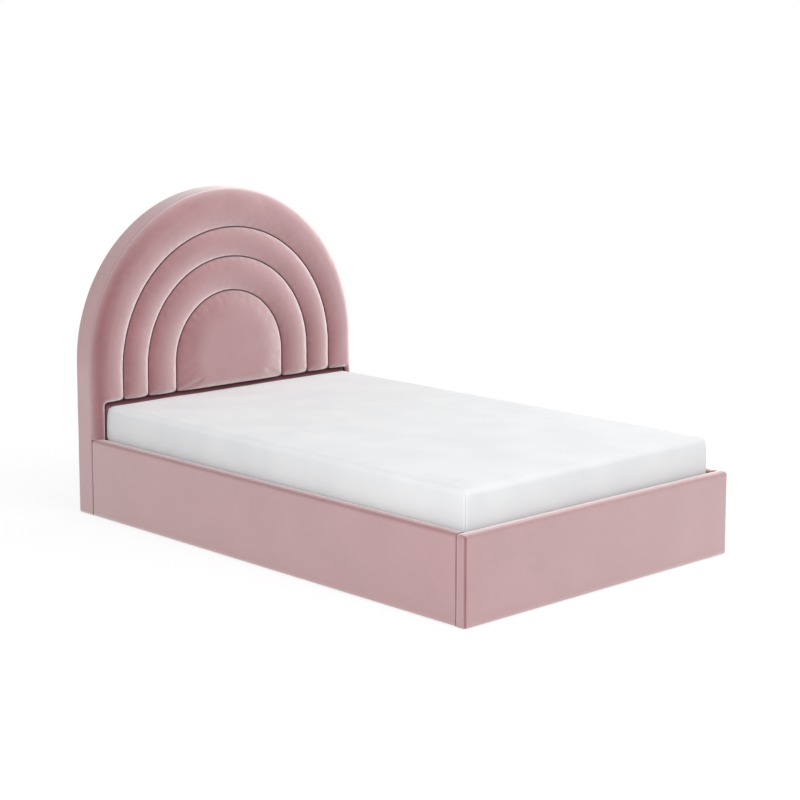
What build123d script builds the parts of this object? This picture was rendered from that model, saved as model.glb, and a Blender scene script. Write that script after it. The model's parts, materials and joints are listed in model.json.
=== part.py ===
from build123d import *

import os
from math import atan2, degrees, hypot, sqrt

# Ottoman bed: an upholstered frame with an arched, channelled headboard. The slatted platform and
# its mattress lift on two four-bar arms with gas struts, and open the storage space below.
# Millimetres. +X is right as seen from the foot, +Y runs to the headboard, +Z is up.
# The origin is on the floor, in the middle of the bed's length and width.

# Overall sizes
bed_width = 1300
bed_length = 2074
headboard_height = 1214
headboard_depth = 92
rail_height = 295
overrun = 5

# Rails and footboard: a board with padding outside and on top, and a thin lining inside
board_thickness = 18
outer_padding = 18
top_padding = 14
lining_thickness = 3
lining_drop = 65
glide_height = 3
top_edge_radius = 12
corner_edge_radius = 13
edge_step = 1
lining_edge_radius = 6

# Headboard frame
border_thickness = 10
border_edge_radius = 4
arch_drop = 6
arch_flattening = 5
back_panel_thickness = 4
post_width = 70
post_setback = 100
post_top_gap = 40
batten_height = 60
lower_batten_bottom = 60
stud_width = 44
stud_gap = 1

# Headboard padding: three arched channels round a half-round pad, over a flat lower panel. The
# outer seam's radius leaves the outer channel its width at the side and at the top.
outer_channel_width = 134
top_channel_width = 155
second_channel_width = 116
third_channel_width = 134
shortest_leg = 109
channel_foot_gap = 13
seam_standout = 24
crown_standout = 45
pad_crown_standout = 50
outer_roll_radius = 36
seam_roll_radius = 19
puff_end_radius = 9
lower_panel_thickness = 10
lower_panel_tuck = 95
lower_panel_gap = 1
lower_panel_edge = 3

# Storage floor
storage_height = 130
ledge_width = 20
ledge_height = 16
ledge_bottom = 8
floor_thickness = 4
floor_gap = 1
beam_width = 60

# Glides and feet
rail_glide_radius = 8
post_glide_radius = 18
beam_foot_radius = 22
glide_inset = 60

# Corner brackets and the bolts of the frame
bracket_leg = 45
bracket_thickness = 4
bracket_rise = 42
bracket_height = 110
bracket_bolt_inset = 25
bolt_radius = 4
bolt_clearance = 0.05
bolt_head_radius = 7
bolt_head_height = 4
bolt_end_wall = 4
socket_radius = 2.5
socket_depth = 2.5
socket_sides = 6

# Mattress
mattress_thickness = 200
mattress_side_gap = 11
mattress_head_gap = 32
mattress_edge_radius = 30
mattress_crown = 4
mattress_swell = 3

# Platform frame of square tube
tube_size = 30
tube_wall = 2
tube_corner_radius = 4
frame_foot_gap = 36
frame_head_gap = 82
end_cap_thickness = 3
end_cap_depth = 12
end_cap_gap = 0.1

# Sprung slats in their holders
slat_count = 14
slat_width = 68
slat_thickness = 8
slat_bow = 20.7
slat_end_margin = 30
slat_gap = 0.3
holder_floor = 4
holder_wall = 4
holder_roof = 2.5
holder_length = 22
centre_web = 8

# Mattress stops and lift strap
stop_width = 60
stop_thickness = 3
stop_height = 64
stop_offset = 300
stop_corner_radius = 8
stop_gap = 0.3
strap_width = 40
strap_thickness = 4
strap_length = 110
strap_fold_flat = 0.2

# Lift arms: pivots as setbacks towards the foot from the headboard joint, and rises above the floor
rear_base_setback = 530
rear_base_rise = 60
rear_top_setback = 384
front_base_setback = 858
front_base_rise = 27
front_top_setback = 475
front_top_drop = 3
strut_base_setback = 242
strut_base_rise = 18
strut_top_setback = 602
strut_lug_rise = 14.1

# Lift arms: thicknesses in layers inward from the rail board
base_plate_thickness = 3
head_clearance = 0.4
pin_head_thickness = 2.4
side_clearance = 0.2
link_thickness = 4
washer_thickness = 1.8
top_plate_thickness = 3
strut_clearance = 2
strut_eye_thickness = 9
stud_head_thickness = 2.8

# Lift arms: outlines, pins and plate bolts
link_end_radius = 15
link_half_width = 12
pivot_radius = 5
running_clearance = 0.05
open_eye_clearance = 3.5
pin_head_radius = 12
pin_shoulder_radius = 9
plate_margin = 12
plate_overhang = 24
plate_corner_radius = 8
top_plate_overhang = 22
plate_bolt_count = 5
plate_bolt_rise = 16
plate_bolt_inset = 114

# Gas struts
strut_rod_radius = 4
strut_swing_clearance = 4.6
strut_wall = 1.4
strut_floor = 5
strut_eye_radius = 9
strut_neck_radius = 4
stud_radius = 4.5
stud_head_radius = 7
strut_tube_start = 14
strut_mouth_setback = 28
strut_rod_inset = 120

# Faces of the bed frame
half_width = bed_width / 2
foot_face = -bed_length / 2
back_face = bed_length / 2
joint_face = back_face - headboard_depth
board_outer = half_width - outer_padding
board_inner = board_outer - board_thickness
rail_inner = board_inner - lining_thickness
board_top = rail_height - top_padding
lining_bottom = rail_height - lining_drop
foot_board_outer = foot_face + outer_padding
foot_board_inner = foot_board_outer + board_thickness
foot_inner = foot_board_inner + lining_thickness
bolt_depth = board_thickness - bolt_end_wall
frame_middle = (foot_inner + joint_face) / 2

# The headboard's three-centred arch
arch_rise = half_width - arch_drop
arch_spring = headboard_height - arch_rise
arch_side_radius = arch_rise - arch_flattening
arch_side_centre = half_width - arch_side_radius
arch_top_radius = (arch_side_centre**2 + arch_rise**2 - arch_side_radius**2) / (2 * arch_flattening)
arch_top_centre = headboard_height - arch_top_radius
arch_turn = degrees(atan2(arch_spring - arch_top_centre, arch_side_centre))
front_board_back = joint_face + board_thickness
back_panel_front = back_face - back_panel_thickness
post_outer = half_width - post_setback
post_inner = post_outer - post_width
post_reach = sqrt((arch_side_radius - border_thickness)**2 - (post_outer - arch_side_centre)**2)
post_top = arch_spring + post_reach - post_top_gap

# Heights of the storage floor, the platform and the mattress
ledge_top = ledge_bottom + ledge_height
floor_top = ledge_top + floor_thickness
tube_bottom = floor_top + storage_height
tube_middle = tube_bottom + tube_size / 2
tube_top = tube_bottom + tube_size
slat_bottom = tube_top + holder_floor
slat_crown = slat_bottom + slat_thickness + slat_bow
mattress_bottom = slat_crown + slat_gap
mattress_top = mattress_bottom + mattress_thickness
cross_seam = mattress_top + channel_foot_gap
seam_room = headboard_height - top_channel_width - cross_seam - shortest_leg
outer_seam_radius = min(half_width - outer_channel_width, seam_room)
channel_spring = headboard_height - top_channel_width - outer_seam_radius
channel_leg = channel_spring - cross_seam
second_seam_radius = outer_seam_radius - second_channel_width
third_seam_radius = second_seam_radius - third_channel_width

# Plan of the platform and the mattress
frame_foot = foot_inner + frame_foot_gap
frame_head = joint_face - frame_head_gap
frame_length = frame_head - frame_foot
mattress_half = rail_inner - mattress_side_gap
mattress_foot = foot_inner + mattress_side_gap
mattress_head = joint_face - mattress_head_gap

# Lift arm layers, as depths inward from the rail board's inner face
pin_head_start = base_plate_thickness + head_clearance
pin_head_end = pin_head_start + pin_head_thickness
link_start = pin_head_end + side_clearance
link_end = link_start + link_thickness
washer_start = link_end + side_clearance
top_plate_start = washer_start + washer_thickness
top_plate_end = top_plate_start + top_plate_thickness
strut_bore_radius = strut_rod_radius + strut_swing_clearance
strut_tube_radius = strut_bore_radius + strut_wall
strut_axis_depth = top_plate_start + strut_clearance + strut_tube_radius
strut_eye_start = strut_axis_depth - strut_eye_thickness / 2
strut_eye_end = strut_axis_depth + strut_eye_thickness / 2
collar_end = strut_eye_start - side_clearance
stud_head_start = strut_eye_end + side_clearance
stud_end = stud_head_start + stud_head_thickness
side_tube_outer = board_inner - top_plate_end
side_tube_inner = side_tube_outer - tube_size

# Lift arm pivots as (y, z) places
rear_base = (joint_face - rear_base_setback, floor_top + rear_base_rise)
rear_top = (joint_face - rear_top_setback, tube_middle)
front_base = (joint_face - front_base_setback, floor_top + front_base_rise)
front_top = (joint_face - front_top_setback, tube_middle - front_top_drop)
strut_base = (joint_face - strut_base_setback, floor_top + strut_base_rise)
front_slope = (front_top[1] - front_base[1]) / (front_top[0] - front_base[0])
strut_top_y = joint_face - strut_top_setback
strut_top = (strut_top_y, front_base[1] + front_slope * (strut_top_y - front_base[0]) + strut_lug_rise)

# Lift plates
base_plate_y = (front_base[0] - plate_overhang, strut_base[0] + plate_overhang)
base_plate_z = (min(front_base[1], strut_base[1]) - plate_margin, rear_base[1] + plate_margin)
top_plate_y = (front_top[0] - top_plate_overhang, rear_top[0] + top_plate_overhang)

sides = {"left": -1, "right": 1}
diagonal_share = 1 - sqrt(0.5)

os.makedirs("parts", exist_ok=True)


def save(shape, label):
    """Labels a finished piece and writes it to its own file."""
    shape.label = label
    export_step(shape, f"parts/{label}.step")


def facing_foot(y):
    """A drawing plane across the bed at y: its x runs right, its y up, its normal to the foot."""
    return Plane.XZ.offset(-y)


def side_plane(side, depth):
    """A drawing plane along the bed, at a depth inward from one rail board's inner face."""
    return Plane.YZ.offset(side * (board_inner - depth))


def block(x_range, y_range, z_range, mode=Mode.ADD):
    """Adds or cuts a square-edged block between two limits on each axis, in the open part."""
    ranges = (x_range, y_range, z_range)
    with Locations(tuple(sum(limits) / 2 for limits in ranges)):
        Box(*(abs(limits[1] - limits[0]) for limits in ranges), mode=mode)


def disc(side, place, depth_from, depth_to, radius):
    """Adds a round on a cross-bed axis between two layer depths, in the open part."""
    with BuildSketch(side_plane(side, depth_from)) as face:
        with Locations(place):
            Circle(radius)
    extrude(face.sketch, amount=-side * (depth_to - depth_from))


def eye(side, place, depth_from, depth_to, radius):
    """Cuts a cross-bed hole right through between two layer depths, in the open part."""
    with BuildSketch(side_plane(side, depth_from - overrun)) as face:
        with Locations(place):
            Circle(radius)
    extrude(face.sketch, amount=-side * (depth_to - depth_from + 2 * overrun), mode=Mode.SUBTRACT)


def arch_outline(inset, bottom):
    """Draws the headboard's outline: legs, two side arcs and a flatter top arc, moved in by one inset."""
    edge = half_width - inset
    side_radius = arch_side_radius - inset
    with BuildLine() as outline:
        CenterArc((arch_side_centre, arch_spring), side_radius, 0, arch_turn)
        CenterArc((0, arch_top_centre), arch_top_radius - inset, arch_turn, 180 - 2 * arch_turn)
        CenterArc((-arch_side_centre, arch_spring), side_radius, 180 - arch_turn, arch_turn)
        Polyline((-edge, arch_spring), (-edge, bottom), (edge, bottom), (edge, arch_spring))
    make_face(outline.edges())


# Bolt seats, each with the direction in which its shank goes
def bracket_bolt_seats(side):
    """Seats of the bolts through both legs of one side's foot and head brackets."""
    bottom = floor_top + bracket_rise
    leg_middle = (bracket_leg + bracket_thickness) / 2
    rail_seat = side * (board_inner - bracket_thickness)
    end_seat = side * (board_inner - leg_middle)
    seats = []
    for z in (bottom + bracket_bolt_inset, bottom + bracket_height - bracket_bolt_inset):
        seats.append(((rail_seat, foot_board_inner + leg_middle, z), (side, 0, 0)))
        seats.append(((rail_seat, joint_face - leg_middle, z), (side, 0, 0)))
        seats.append(((end_seat, foot_board_inner + bracket_thickness, z), (0, -1, 0)))
        seats.append(((end_seat, joint_face - bracket_thickness, z), (0, 1, 0)))
    return seats


def plate_bolt_seats(side):
    """Seats of the bolts that hold one side's lift plate to the rail board."""
    x = side * (board_inner - base_plate_thickness)
    z = floor_top + plate_bolt_rise
    first, last = base_plate_y[0] + plate_bolt_inset, base_plate_y[1] - plate_bolt_inset
    pitch = (last - first) / (plate_bolt_count - 1)
    return [((x, first + i * pitch, z), (side, 0, 0)) for i in range(plate_bolt_count)]


def bolt(seat, direction, grip):
    """A button-head bolt: a head with a socket, and a shank through its grip into the board."""
    head_end = tuple(s - bolt_head_height * d for s, d in zip(seat, direction))
    with BuildPart() as piece:
        with BuildSketch(Plane(origin=seat, z_dir=direction)):
            Circle(bolt_radius)
        extrude(amount=grip + bolt_depth)
        with BuildSketch(Plane(origin=head_end, z_dir=direction)):
            Circle(bolt_head_radius)
        extrude(amount=bolt_head_height)
        with BuildSketch(Plane(origin=head_end, z_dir=direction)):
            RegularPolygon(socket_radius, socket_sides)
        extrude(amount=socket_depth, mode=Mode.SUBTRACT)
    return piece.part


def bolt_holes(seats, grip, towards=None):
    """Cuts holes through a plate's grip and into the board behind it, in the open part."""
    for seat, direction in seats:
        if towards is None or direction == towards:
            start = tuple(s - overrun * d for s, d in zip(seat, direction))
            with BuildSketch(Plane(origin=start, z_dir=direction)) as face:
                Circle(bolt_radius + bolt_clearance)
            extrude(face.sketch, amount=overrun + grip + bolt_depth, mode=Mode.SUBTRACT)


frame_bolts = []
lift_bolts = []
for side in sides.values():
    frame_bolts += [bolt(seat, way, bracket_thickness) for seat, way in bracket_bolt_seats(side)]
    lift_bolts += [bolt(seat, way, base_plate_thickness) for seat, way in plate_bolt_seats(side)]
save(Compound(children=frame_bolts), "frame_bolts")
save(Compound(children=lift_bolts), "lift_bolts")

# Headboard boards and border
with BuildPart() as headboard_front_board:
    with BuildSketch(facing_foot(front_board_back)):
        arch_outline(border_thickness, glide_height)
    extrude(amount=board_thickness)
    for side in sides.values():
        bolt_holes(bracket_bolt_seats(side), bracket_thickness, (0, 1, 0))
save(headboard_front_board.part, "headboard_front_board")

with BuildPart() as headboard_back_panel:
    with BuildSketch(facing_foot(back_face)):
        arch_outline(border_thickness, glide_height)
    extrude(amount=back_panel_thickness)
save(headboard_back_panel.part, "headboard_back_panel")

with BuildPart() as headboard_border:
    with BuildSketch(facing_foot(back_face)):
        arch_outline(0, glide_height)
    extrude(amount=headboard_depth)
    rear_rim = headboard_border.faces().sort_by(Axis.Y)[-1].edges().sort_by(Axis.Z)
    fillet(rear_rim[1:], border_edge_radius)
    with BuildSketch(facing_foot(back_face + overrun)):
        arch_outline(border_thickness, glide_height - overrun)
    extrude(amount=headboard_depth + 2 * overrun, mode=Mode.SUBTRACT)
save(headboard_border.part, "headboard_border")

# Headboard posts, battens and stud
frame_depth = (front_board_back, back_panel_front)
for side_name, side in sides.items():
    with BuildPart() as post:
        block((side * post_inner, side * post_outer), frame_depth, (glide_height, post_top))
    save(post.part, f"headboard_post_{side_name}")

upper_batten_bottom = post_top - batten_height
batten_bottoms = {"lower": lower_batten_bottom, "middle": (lower_batten_bottom + upper_batten_bottom) / 2,
                  "upper": upper_batten_bottom}
for batten_name, bottom in batten_bottoms.items():
    with BuildPart() as batten:
        block((-post_inner, post_inner), frame_depth, (bottom, bottom + batten_height))
    save(batten.part, f"headboard_{batten_name}_batten")

stud_reach = sqrt((arch_top_radius - border_thickness)**2 - (stud_width / 2)**2)
with BuildPart() as centre_stud:
    block((-stud_width / 2, stud_width / 2), frame_depth, (post_top, arch_top_centre + stud_reach - stud_gap))
save(centre_stud.part, "headboard_centre_stud")


# Headboard padding
def crowned_section(inner, outer, crown):
    """Draws a channel's section across its width: flat back, straight sides and an arched front."""
    seam_face = joint_face - seam_standout
    with BuildLine() as outline:
        Polyline((inner, seam_face), (inner, joint_face), (outer, joint_face), (outer, seam_face))
        ThreePointArc((outer, seam_face), ((inner + outer) / 2, joint_face - crown), (inner, seam_face))
    make_face(outline.edges())


def arched_channel(inner, outer):
    """A padded channel: a crowned section turned over the arch and carried down both legs."""
    with BuildPart() as channel:
        with BuildSketch(Plane.XY.offset(channel_spring)) as right_section:
            crowned_section(inner, outer, crown_standout)
        revolve(axis=Axis((0, 0, channel_spring), (0, -1, 0)), revolution_arc=180)
        extrude(right_section.sketch, amount=-channel_leg)
        with BuildSketch(Plane.XY.offset(channel_spring)) as left_section:
            crowned_section(-outer, -inner, crown_standout)
        extrude(left_section.sketch, amount=-channel_leg)
        leg_ends = channel.faces().filter_by(Axis.Z).group_by(Axis.Z)[0]
        fillet([end.edges().sort_by(Axis.Y)[0] for end in leg_ends], puff_end_radius)
    return channel.part


def arch_distance(edge):
    """How far an edge's middle lies from the channels' centre, over the arch or beside it."""
    middle = edge @ 0.5
    return hypot(middle.X, max(middle.Z - channel_spring, 0))


with BuildPart() as outer_channel:
    with BuildSketch(facing_foot(joint_face)):
        arch_outline(0, rail_height)
        with Locations((0, channel_spring)):
            Circle(outer_seam_radius, mode=Mode.SUBTRACT)
        with Locations((0, cross_seam)):
            Rectangle(2 * outer_seam_radius, channel_leg, align=(Align.CENTER, Align.MIN), mode=Mode.SUBTRACT)
            Rectangle(2 * rail_inner, headboard_height, align=(Align.CENTER, Align.MAX), mode=Mode.SUBTRACT)
    extrude(amount=crown_standout)
    front_edges = outer_channel.faces().sort_by(Axis.Y)[0].edges()
    rolled_rim = [e for e in front_edges if arch_distance(e) > half_width - border_thickness]
    seam_rim = [e for e in front_edges if abs(arch_distance(e) - outer_seam_radius) < border_thickness]
    fillet(rolled_rim, min(outer_roll_radius, crown_standout - border_edge_radius))
    fillet(seam_rim, seam_roll_radius)
save(outer_channel.part, "headboard_outer_channel")
save(arched_channel(second_seam_radius, outer_seam_radius), "headboard_second_channel")
save(arched_channel(third_seam_radius, second_seam_radius), "headboard_third_channel")

with BuildPart() as centre_pad:
    with BuildSketch(Plane.XY.offset(channel_spring)):
        with BuildLine():
            crown = (0, joint_face - pad_crown_standout)
            edge_point = (third_seam_radius, joint_face - seam_standout)
            Polyline(crown, (0, joint_face), (third_seam_radius, joint_face), edge_point)
            TangentArc(crown, edge_point, tangent=(1, 0))
        make_face()
    revolve(axis=Axis((0, 0, channel_spring), (0, -1, 0)), revolution_arc=180)
    with BuildSketch(Plane.XY.offset(channel_spring)) as pad_section:
        crowned_section(-third_seam_radius, third_seam_radius, pad_crown_standout)
    extrude(pad_section.sketch, amount=-channel_leg)
    pad_end = centre_pad.faces().filter_by(Axis.Z).sort_by(Axis.Z)[0]
    fillet(pad_end.edges().sort_by(Axis.Y)[0], puff_end_radius)
save(centre_pad.part, "headboard_centre_pad")

with BuildPart() as lower_panel:
    block((lower_panel_gap - rail_inner, rail_inner - lower_panel_gap),
          (joint_face - lower_panel_thickness, joint_face), (rail_height - lower_panel_tuck, cross_seam))
    fillet(lower_panel.faces().sort_by(Axis.Y)[0].edges(), lower_panel_edge)
save(lower_panel.part, "headboard_lower_panel")

# Side rails with their covers, ledges and floor panels
for side_name, side in sides.items():
    with BuildPart() as rail_board:
        block((side * board_inner, side * board_outer), (foot_board_inner, joint_face),
              (glide_height, board_top))
        bolt_holes(bracket_bolt_seats(side), bracket_thickness, (side, 0, 0))
        bolt_holes(plate_bolt_seats(side), base_plate_thickness)
    save(rail_board.part, f"side_rail_board_{side_name}")

    with BuildPart() as rail_cover:
        with BuildSketch(facing_foot(joint_face)):
            with BuildLine():
                roll_side = (side * half_width, rail_height - top_edge_radius)
                roll_top = (side * (half_width - top_edge_radius), rail_height)
                hem_top = (side * (rail_inner + lining_edge_radius), rail_height)
                hem_side = (side * rail_inner, rail_height - lining_edge_radius)
                roll_slip = top_edge_radius * diagonal_share
                hem_slip = lining_edge_radius * diagonal_share
                Polyline(roll_side, (side * half_width, glide_height), (side * board_outer, glide_height),
                         (side * board_outer, board_top), (side * board_inner, board_top),
                         (side * board_inner, lining_bottom), (side * rail_inner, lining_bottom), hem_side)
                ThreePointArc(hem_side, (side * (rail_inner + hem_slip), rail_height - hem_slip), hem_top)
                Line(hem_top, roll_top)
                ThreePointArc(roll_top, (side * (half_width - roll_slip), rail_height - roll_slip), roll_side)
            make_face()
        extrude(amount=joint_face - foot_inner)
    save(rail_cover.part, f"side_rail_cover_{side_name}")

    with BuildPart() as rail_ledge:
        block((side * (board_inner - ledge_width), side * board_inner),
              (foot_board_inner + ledge_width, joint_face - ledge_width), (ledge_bottom, ledge_top))
    save(rail_ledge.part, f"side_rail_ledge_{side_name}")

    with BuildPart() as floor_panel:
        block((side * floor_gap, side * (board_inner - floor_gap)),
              (foot_board_inner + floor_gap, joint_face - floor_gap), (ledge_top, floor_top))
    save(floor_panel.part, f"floor_panel_{side_name}")

# Footboard
with BuildPart() as footboard:
    block((-board_outer, board_outer), (foot_board_outer, foot_board_inner), (glide_height, board_top))
    for side in sides.values():
        bolt_holes(bracket_bolt_seats(side), bracket_thickness, (0, -1, 0))
save(footboard.part, "footboard_board")

with BuildPart() as foot_cover:
    block((-half_width, half_width), (foot_face, foot_inner), (glide_height, rail_height))
    fillet(foot_cover.edges().filter_by(Axis.Z).sort_by(Axis.Y)[:2], corner_edge_radius)
    top_rim = foot_cover.faces().sort_by(Axis.Z)[-1].edges().sort_by(Axis.Y)
    fillet(top_rim[:-1], min(top_edge_radius, corner_edge_radius - edge_step))
    block((-board_outer, board_outer), (foot_board_outer, foot_inner + overrun),
          (glide_height - overrun, board_top), Mode.SUBTRACT)
    block((-rail_inner, rail_inner), (foot_board_inner, foot_inner), (lining_bottom, board_top))
    with BuildSketch(Plane.YZ.offset(-rail_inner)):
        with BuildLine():
            hem_top = (foot_inner - lining_edge_radius, rail_height)
            hem_side = (foot_inner, rail_height - lining_edge_radius)
            hem_slip = lining_edge_radius * diagonal_share
            ThreePointArc(hem_top, (foot_inner - hem_slip, rail_height - hem_slip), hem_side)
            Polyline(hem_side, (foot_inner, rail_height), hem_top)
        make_face()
    extrude(amount=2 * rail_inner, mode=Mode.SUBTRACT)
save(foot_cover.part, "footboard_cover")

# Cross ledges and the floor's centre beam
for ledge_name, y_range in {"footboard": (foot_board_inner, foot_board_inner + ledge_width),
                            "headboard": (joint_face - ledge_width, joint_face)}.items():
    with BuildPart() as cross_ledge:
        block((-board_inner, board_inner), y_range, (ledge_bottom, ledge_top))
    save(cross_ledge.part, f"{ledge_name}_ledge")

with BuildPart() as floor_beam:
    block((-beam_width / 2, beam_width / 2), (foot_board_inner + ledge_width, joint_face - ledge_width),
          (ledge_bottom, ledge_top))
save(floor_beam.part, "floor_centre_beam")


# Glides under the boards and posts, and feet under the beam
def foot_disc(x, y, radius, top):
    """One round foot from the floor up to what stands on it."""
    with BuildPart() as piece:
        with Locations((x, y)):
            Cylinder(radius, top, align=(Align.CENTER, Align.CENTER, Align.MIN))
    return piece.part


feet = []
foot_rows = (foot_inner + glide_inset, frame_middle, joint_face - glide_inset)
for side in sides.values():
    for y in foot_rows:
        feet.append(foot_disc(side * (board_inner + board_outer) / 2, y, rail_glide_radius, glide_height))
    feet.append(foot_disc(side * (board_outer - glide_inset), (foot_board_outer + foot_board_inner) / 2,
                          rail_glide_radius, glide_height))
    feet.append(foot_disc(side * (post_inner + post_outer) / 2, sum(frame_depth) / 2, post_glide_radius,
                          glide_height))
for y in foot_rows:
    feet.append(foot_disc(0, y, beam_foot_radius, ledge_bottom))
save(Compound(children=feet), "glides")

# Corner brackets
for side_name, side in sides.items():
    for end_name, wall, inward in (("foot", foot_board_inner, 1), ("head", joint_face, -1)):
        z_range = (floor_top + bracket_rise, floor_top + bracket_rise + bracket_height)
        with BuildPart() as bracket:
            block((side * (board_inner - bracket_thickness), side * board_inner),
                  (wall, wall + inward * bracket_leg), z_range)
            block((side * (board_inner - bracket_leg), side * board_inner),
                  (wall, wall + inward * bracket_thickness), z_range)
            bolt_holes(bracket_bolt_seats(side), bracket_thickness, (side, 0, 0))
            bolt_holes(bracket_bolt_seats(side), bracket_thickness, (0, -inward, 0))
        save(bracket.part, f"{end_name}_bracket_{side_name}")


# Lift arms
def link(side, start, end, end_eye_radius, lug=None):
    """A flat lift link between two eyes, with an optional lug and stud for the strut."""
    run = (end[0] - start[0], end[1] - start[1])
    middle = ((start[0] + end[0]) / 2, (start[1] + end[1]) / 2)
    with BuildPart() as arm:
        with BuildSketch(side_plane(side, link_start)):
            with Locations([place for place in (start, end, lug) if place]):
                Circle(link_end_radius)
            with Locations(Location(middle, degrees(atan2(run[1], run[0])))):
                Rectangle(hypot(*run), 2 * link_half_width)
        extrude(amount=-side * link_thickness)
        eye(side, start, link_start, link_end, pivot_radius + running_clearance)
        eye(side, end, link_start, link_end, end_eye_radius)
        if lug:
            disc(side, lug, link_end, collar_end, stud_head_radius)
            disc(side, lug, collar_end, stud_head_start, stud_radius)
            disc(side, lug, stud_head_start, stud_end, stud_head_radius)
    return arm.part


for side_name, side in sides.items():
    rear_link = link(side, rear_base, rear_top, pivot_radius + running_clearance)
    front_link = link(side, front_base, front_top, pivot_radius + open_eye_clearance, strut_top)
    save(rear_link, f"rear_link_{side_name}")
    save(front_link, f"front_link_{side_name}")


def plate(side, depth, thickness, y_range, z_range):
    """Adds a flat plate with rounded corners along one side of the bed, in the open part."""
    with BuildSketch(side_plane(side, depth)) as face:
        with Locations((sum(y_range) / 2, sum(z_range) / 2)):
            RectangleRounded(y_range[1] - y_range[0], z_range[1] - z_range[0], plate_corner_radius)
    extrude(face.sketch, amount=-side * thickness)


for side_name, side in sides.items():
    with BuildPart() as base_plate:
        plate(side, 0, base_plate_thickness, base_plate_y, base_plate_z)
        bolt_holes(plate_bolt_seats(side), base_plate_thickness)
    save(base_plate.part, f"lift_base_plate_{side_name}")

    with BuildPart() as top_plate:
        plate(side, top_plate_start, top_plate_thickness, top_plate_y, (tube_bottom, tube_top))
    save(top_plate.part, f"lift_top_plate_{side_name}")


# Pins and studs of the lift arms
def pin(side, place, start, start_radius):
    """A headed pin through a link's eye: its foot, its bearing length and its head."""
    with BuildPart() as piece:
        disc(side, place, start, pin_head_end, start_radius)
        disc(side, place, pin_head_end, washer_start, pivot_radius)
        disc(side, place, washer_start, top_plate_start, pin_head_radius)
    return piece.part


def base_stud(side):
    """The stud on the base plate that carries the strut's lower eye."""
    with BuildPart() as piece:
        disc(side, strut_base, base_plate_thickness, collar_end, stud_head_radius)
        disc(side, strut_base, collar_end, stud_head_start, stud_radius)
        disc(side, strut_base, stud_head_start, stud_end, stud_head_radius)
    return piece.part


lower_pins = []
upper_pins = []
for side in sides.values():
    for place in (rear_base, front_base):
        lower_pins.append(pin(side, place, base_plate_thickness, pin_shoulder_radius))
    for place in (rear_top, front_top):
        upper_pins.append(pin(side, place, pin_head_start, pin_head_radius))
save(Compound(children=lower_pins), "lift_lower_pins")
save(Compound(children=upper_pins), "lift_upper_pins")
save(Compound(children=[base_stud(side) for side in sides.values()]), "strut_lower_studs")

# Gas struts
strut_run = (strut_top[0] - strut_base[0], strut_top[1] - strut_base[1])
strut_length = hypot(*strut_run)
strut_way = (strut_run[0] / strut_length, strut_run[1] / strut_length)


def strut_round(side, start, end, radius, mode=Mode.ADD):
    """Adds or cuts a round along a strut, between two distances from its lower eye, in the open part."""
    origin = (side * (board_inner - strut_axis_depth), strut_base[0] + start * strut_way[0],
              strut_base[1] + start * strut_way[1])
    with BuildSketch(Plane(origin=origin, x_dir=(1, 0, 0), z_dir=(0, *strut_way))) as face:
        Circle(radius)
    extrude(face.sketch, amount=end - start, mode=mode)


strut_mouth = strut_length - strut_mouth_setback
for side_name, side in sides.items():
    with BuildPart() as strut_tube:
        disc(side, strut_base, strut_eye_start, strut_eye_end, strut_eye_radius)
        strut_round(side, 0, strut_tube_start, strut_neck_radius)
        strut_round(side, strut_tube_start, strut_mouth, strut_tube_radius)
        strut_round(side, strut_tube_start + strut_floor, strut_mouth + overrun, strut_bore_radius,
                    Mode.SUBTRACT)
        eye(side, strut_base, strut_eye_start, strut_eye_end, stud_radius + running_clearance)
    save(strut_tube.part, f"strut_tube_{side_name}")

    with BuildPart() as strut_rod:
        disc(side, strut_top, strut_eye_start, strut_eye_end, strut_eye_radius)
        strut_round(side, strut_rod_inset, strut_length, strut_rod_radius)
        eye(side, strut_top, strut_eye_start, strut_eye_end, stud_radius + running_clearance)
    save(strut_rod.part, f"strut_rod_{side_name}")


# Platform frame
def square_tube(plane, centre, length):
    """A square tube with rounded corners, along a plane's normal."""
    with BuildPart() as tube:
        with BuildSketch(plane):
            with Locations(centre):
                RectangleRounded(tube_size, tube_size, tube_corner_radius)
                RectangleRounded(tube_size - 2 * tube_wall, tube_size - 2 * tube_wall,
                                 tube_corner_radius - tube_wall, mode=Mode.SUBTRACT)
        extrude(amount=length)
    return tube.part


side_tube_middle = (side_tube_outer + side_tube_inner) / 2
for side_name, side in sides.items():
    side_tube = square_tube(facing_foot(frame_head), (side * side_tube_middle, tube_middle), frame_length)
    save(side_tube, f"platform_side_tube_{side_name}")
for end_name, y in (("head", frame_head - tube_size / 2), ("foot", frame_foot + tube_size / 2)):
    cross_tube = square_tube(Plane.YZ.offset(-side_tube_inner), (y, tube_middle), 2 * side_tube_inner)
    save(cross_tube, f"platform_{end_name}_tube")
centre_tube = square_tube(facing_foot(frame_head - tube_size), (0, tube_middle), frame_length - 2 * tube_size)
save(centre_tube, "platform_centre_tube")

plug_size = tube_size - 2 * (tube_wall + end_cap_gap)
caps = []
for side in sides.values():
    for y, outward in ((frame_foot, -1), (frame_head, 1)):
        with BuildPart() as cap:
            with BuildSketch(facing_foot(y)) as cap_face:
                with Locations((side * side_tube_middle, tube_middle)):
                    RectangleRounded(tube_size, tube_size, tube_corner_radius)
            extrude(cap_face.sketch, amount=-outward * end_cap_thickness)
            with BuildSketch(facing_foot(y)) as plug_face:
                with Locations((side * side_tube_middle, tube_middle)):
                    RectangleRounded(plug_size, plug_size, tube_corner_radius - tube_wall)
            extrude(plug_face.sketch, amount=outward * end_cap_depth)
        caps.append(cap.part)
save(Compound(children=caps), "platform_end_caps")

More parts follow.
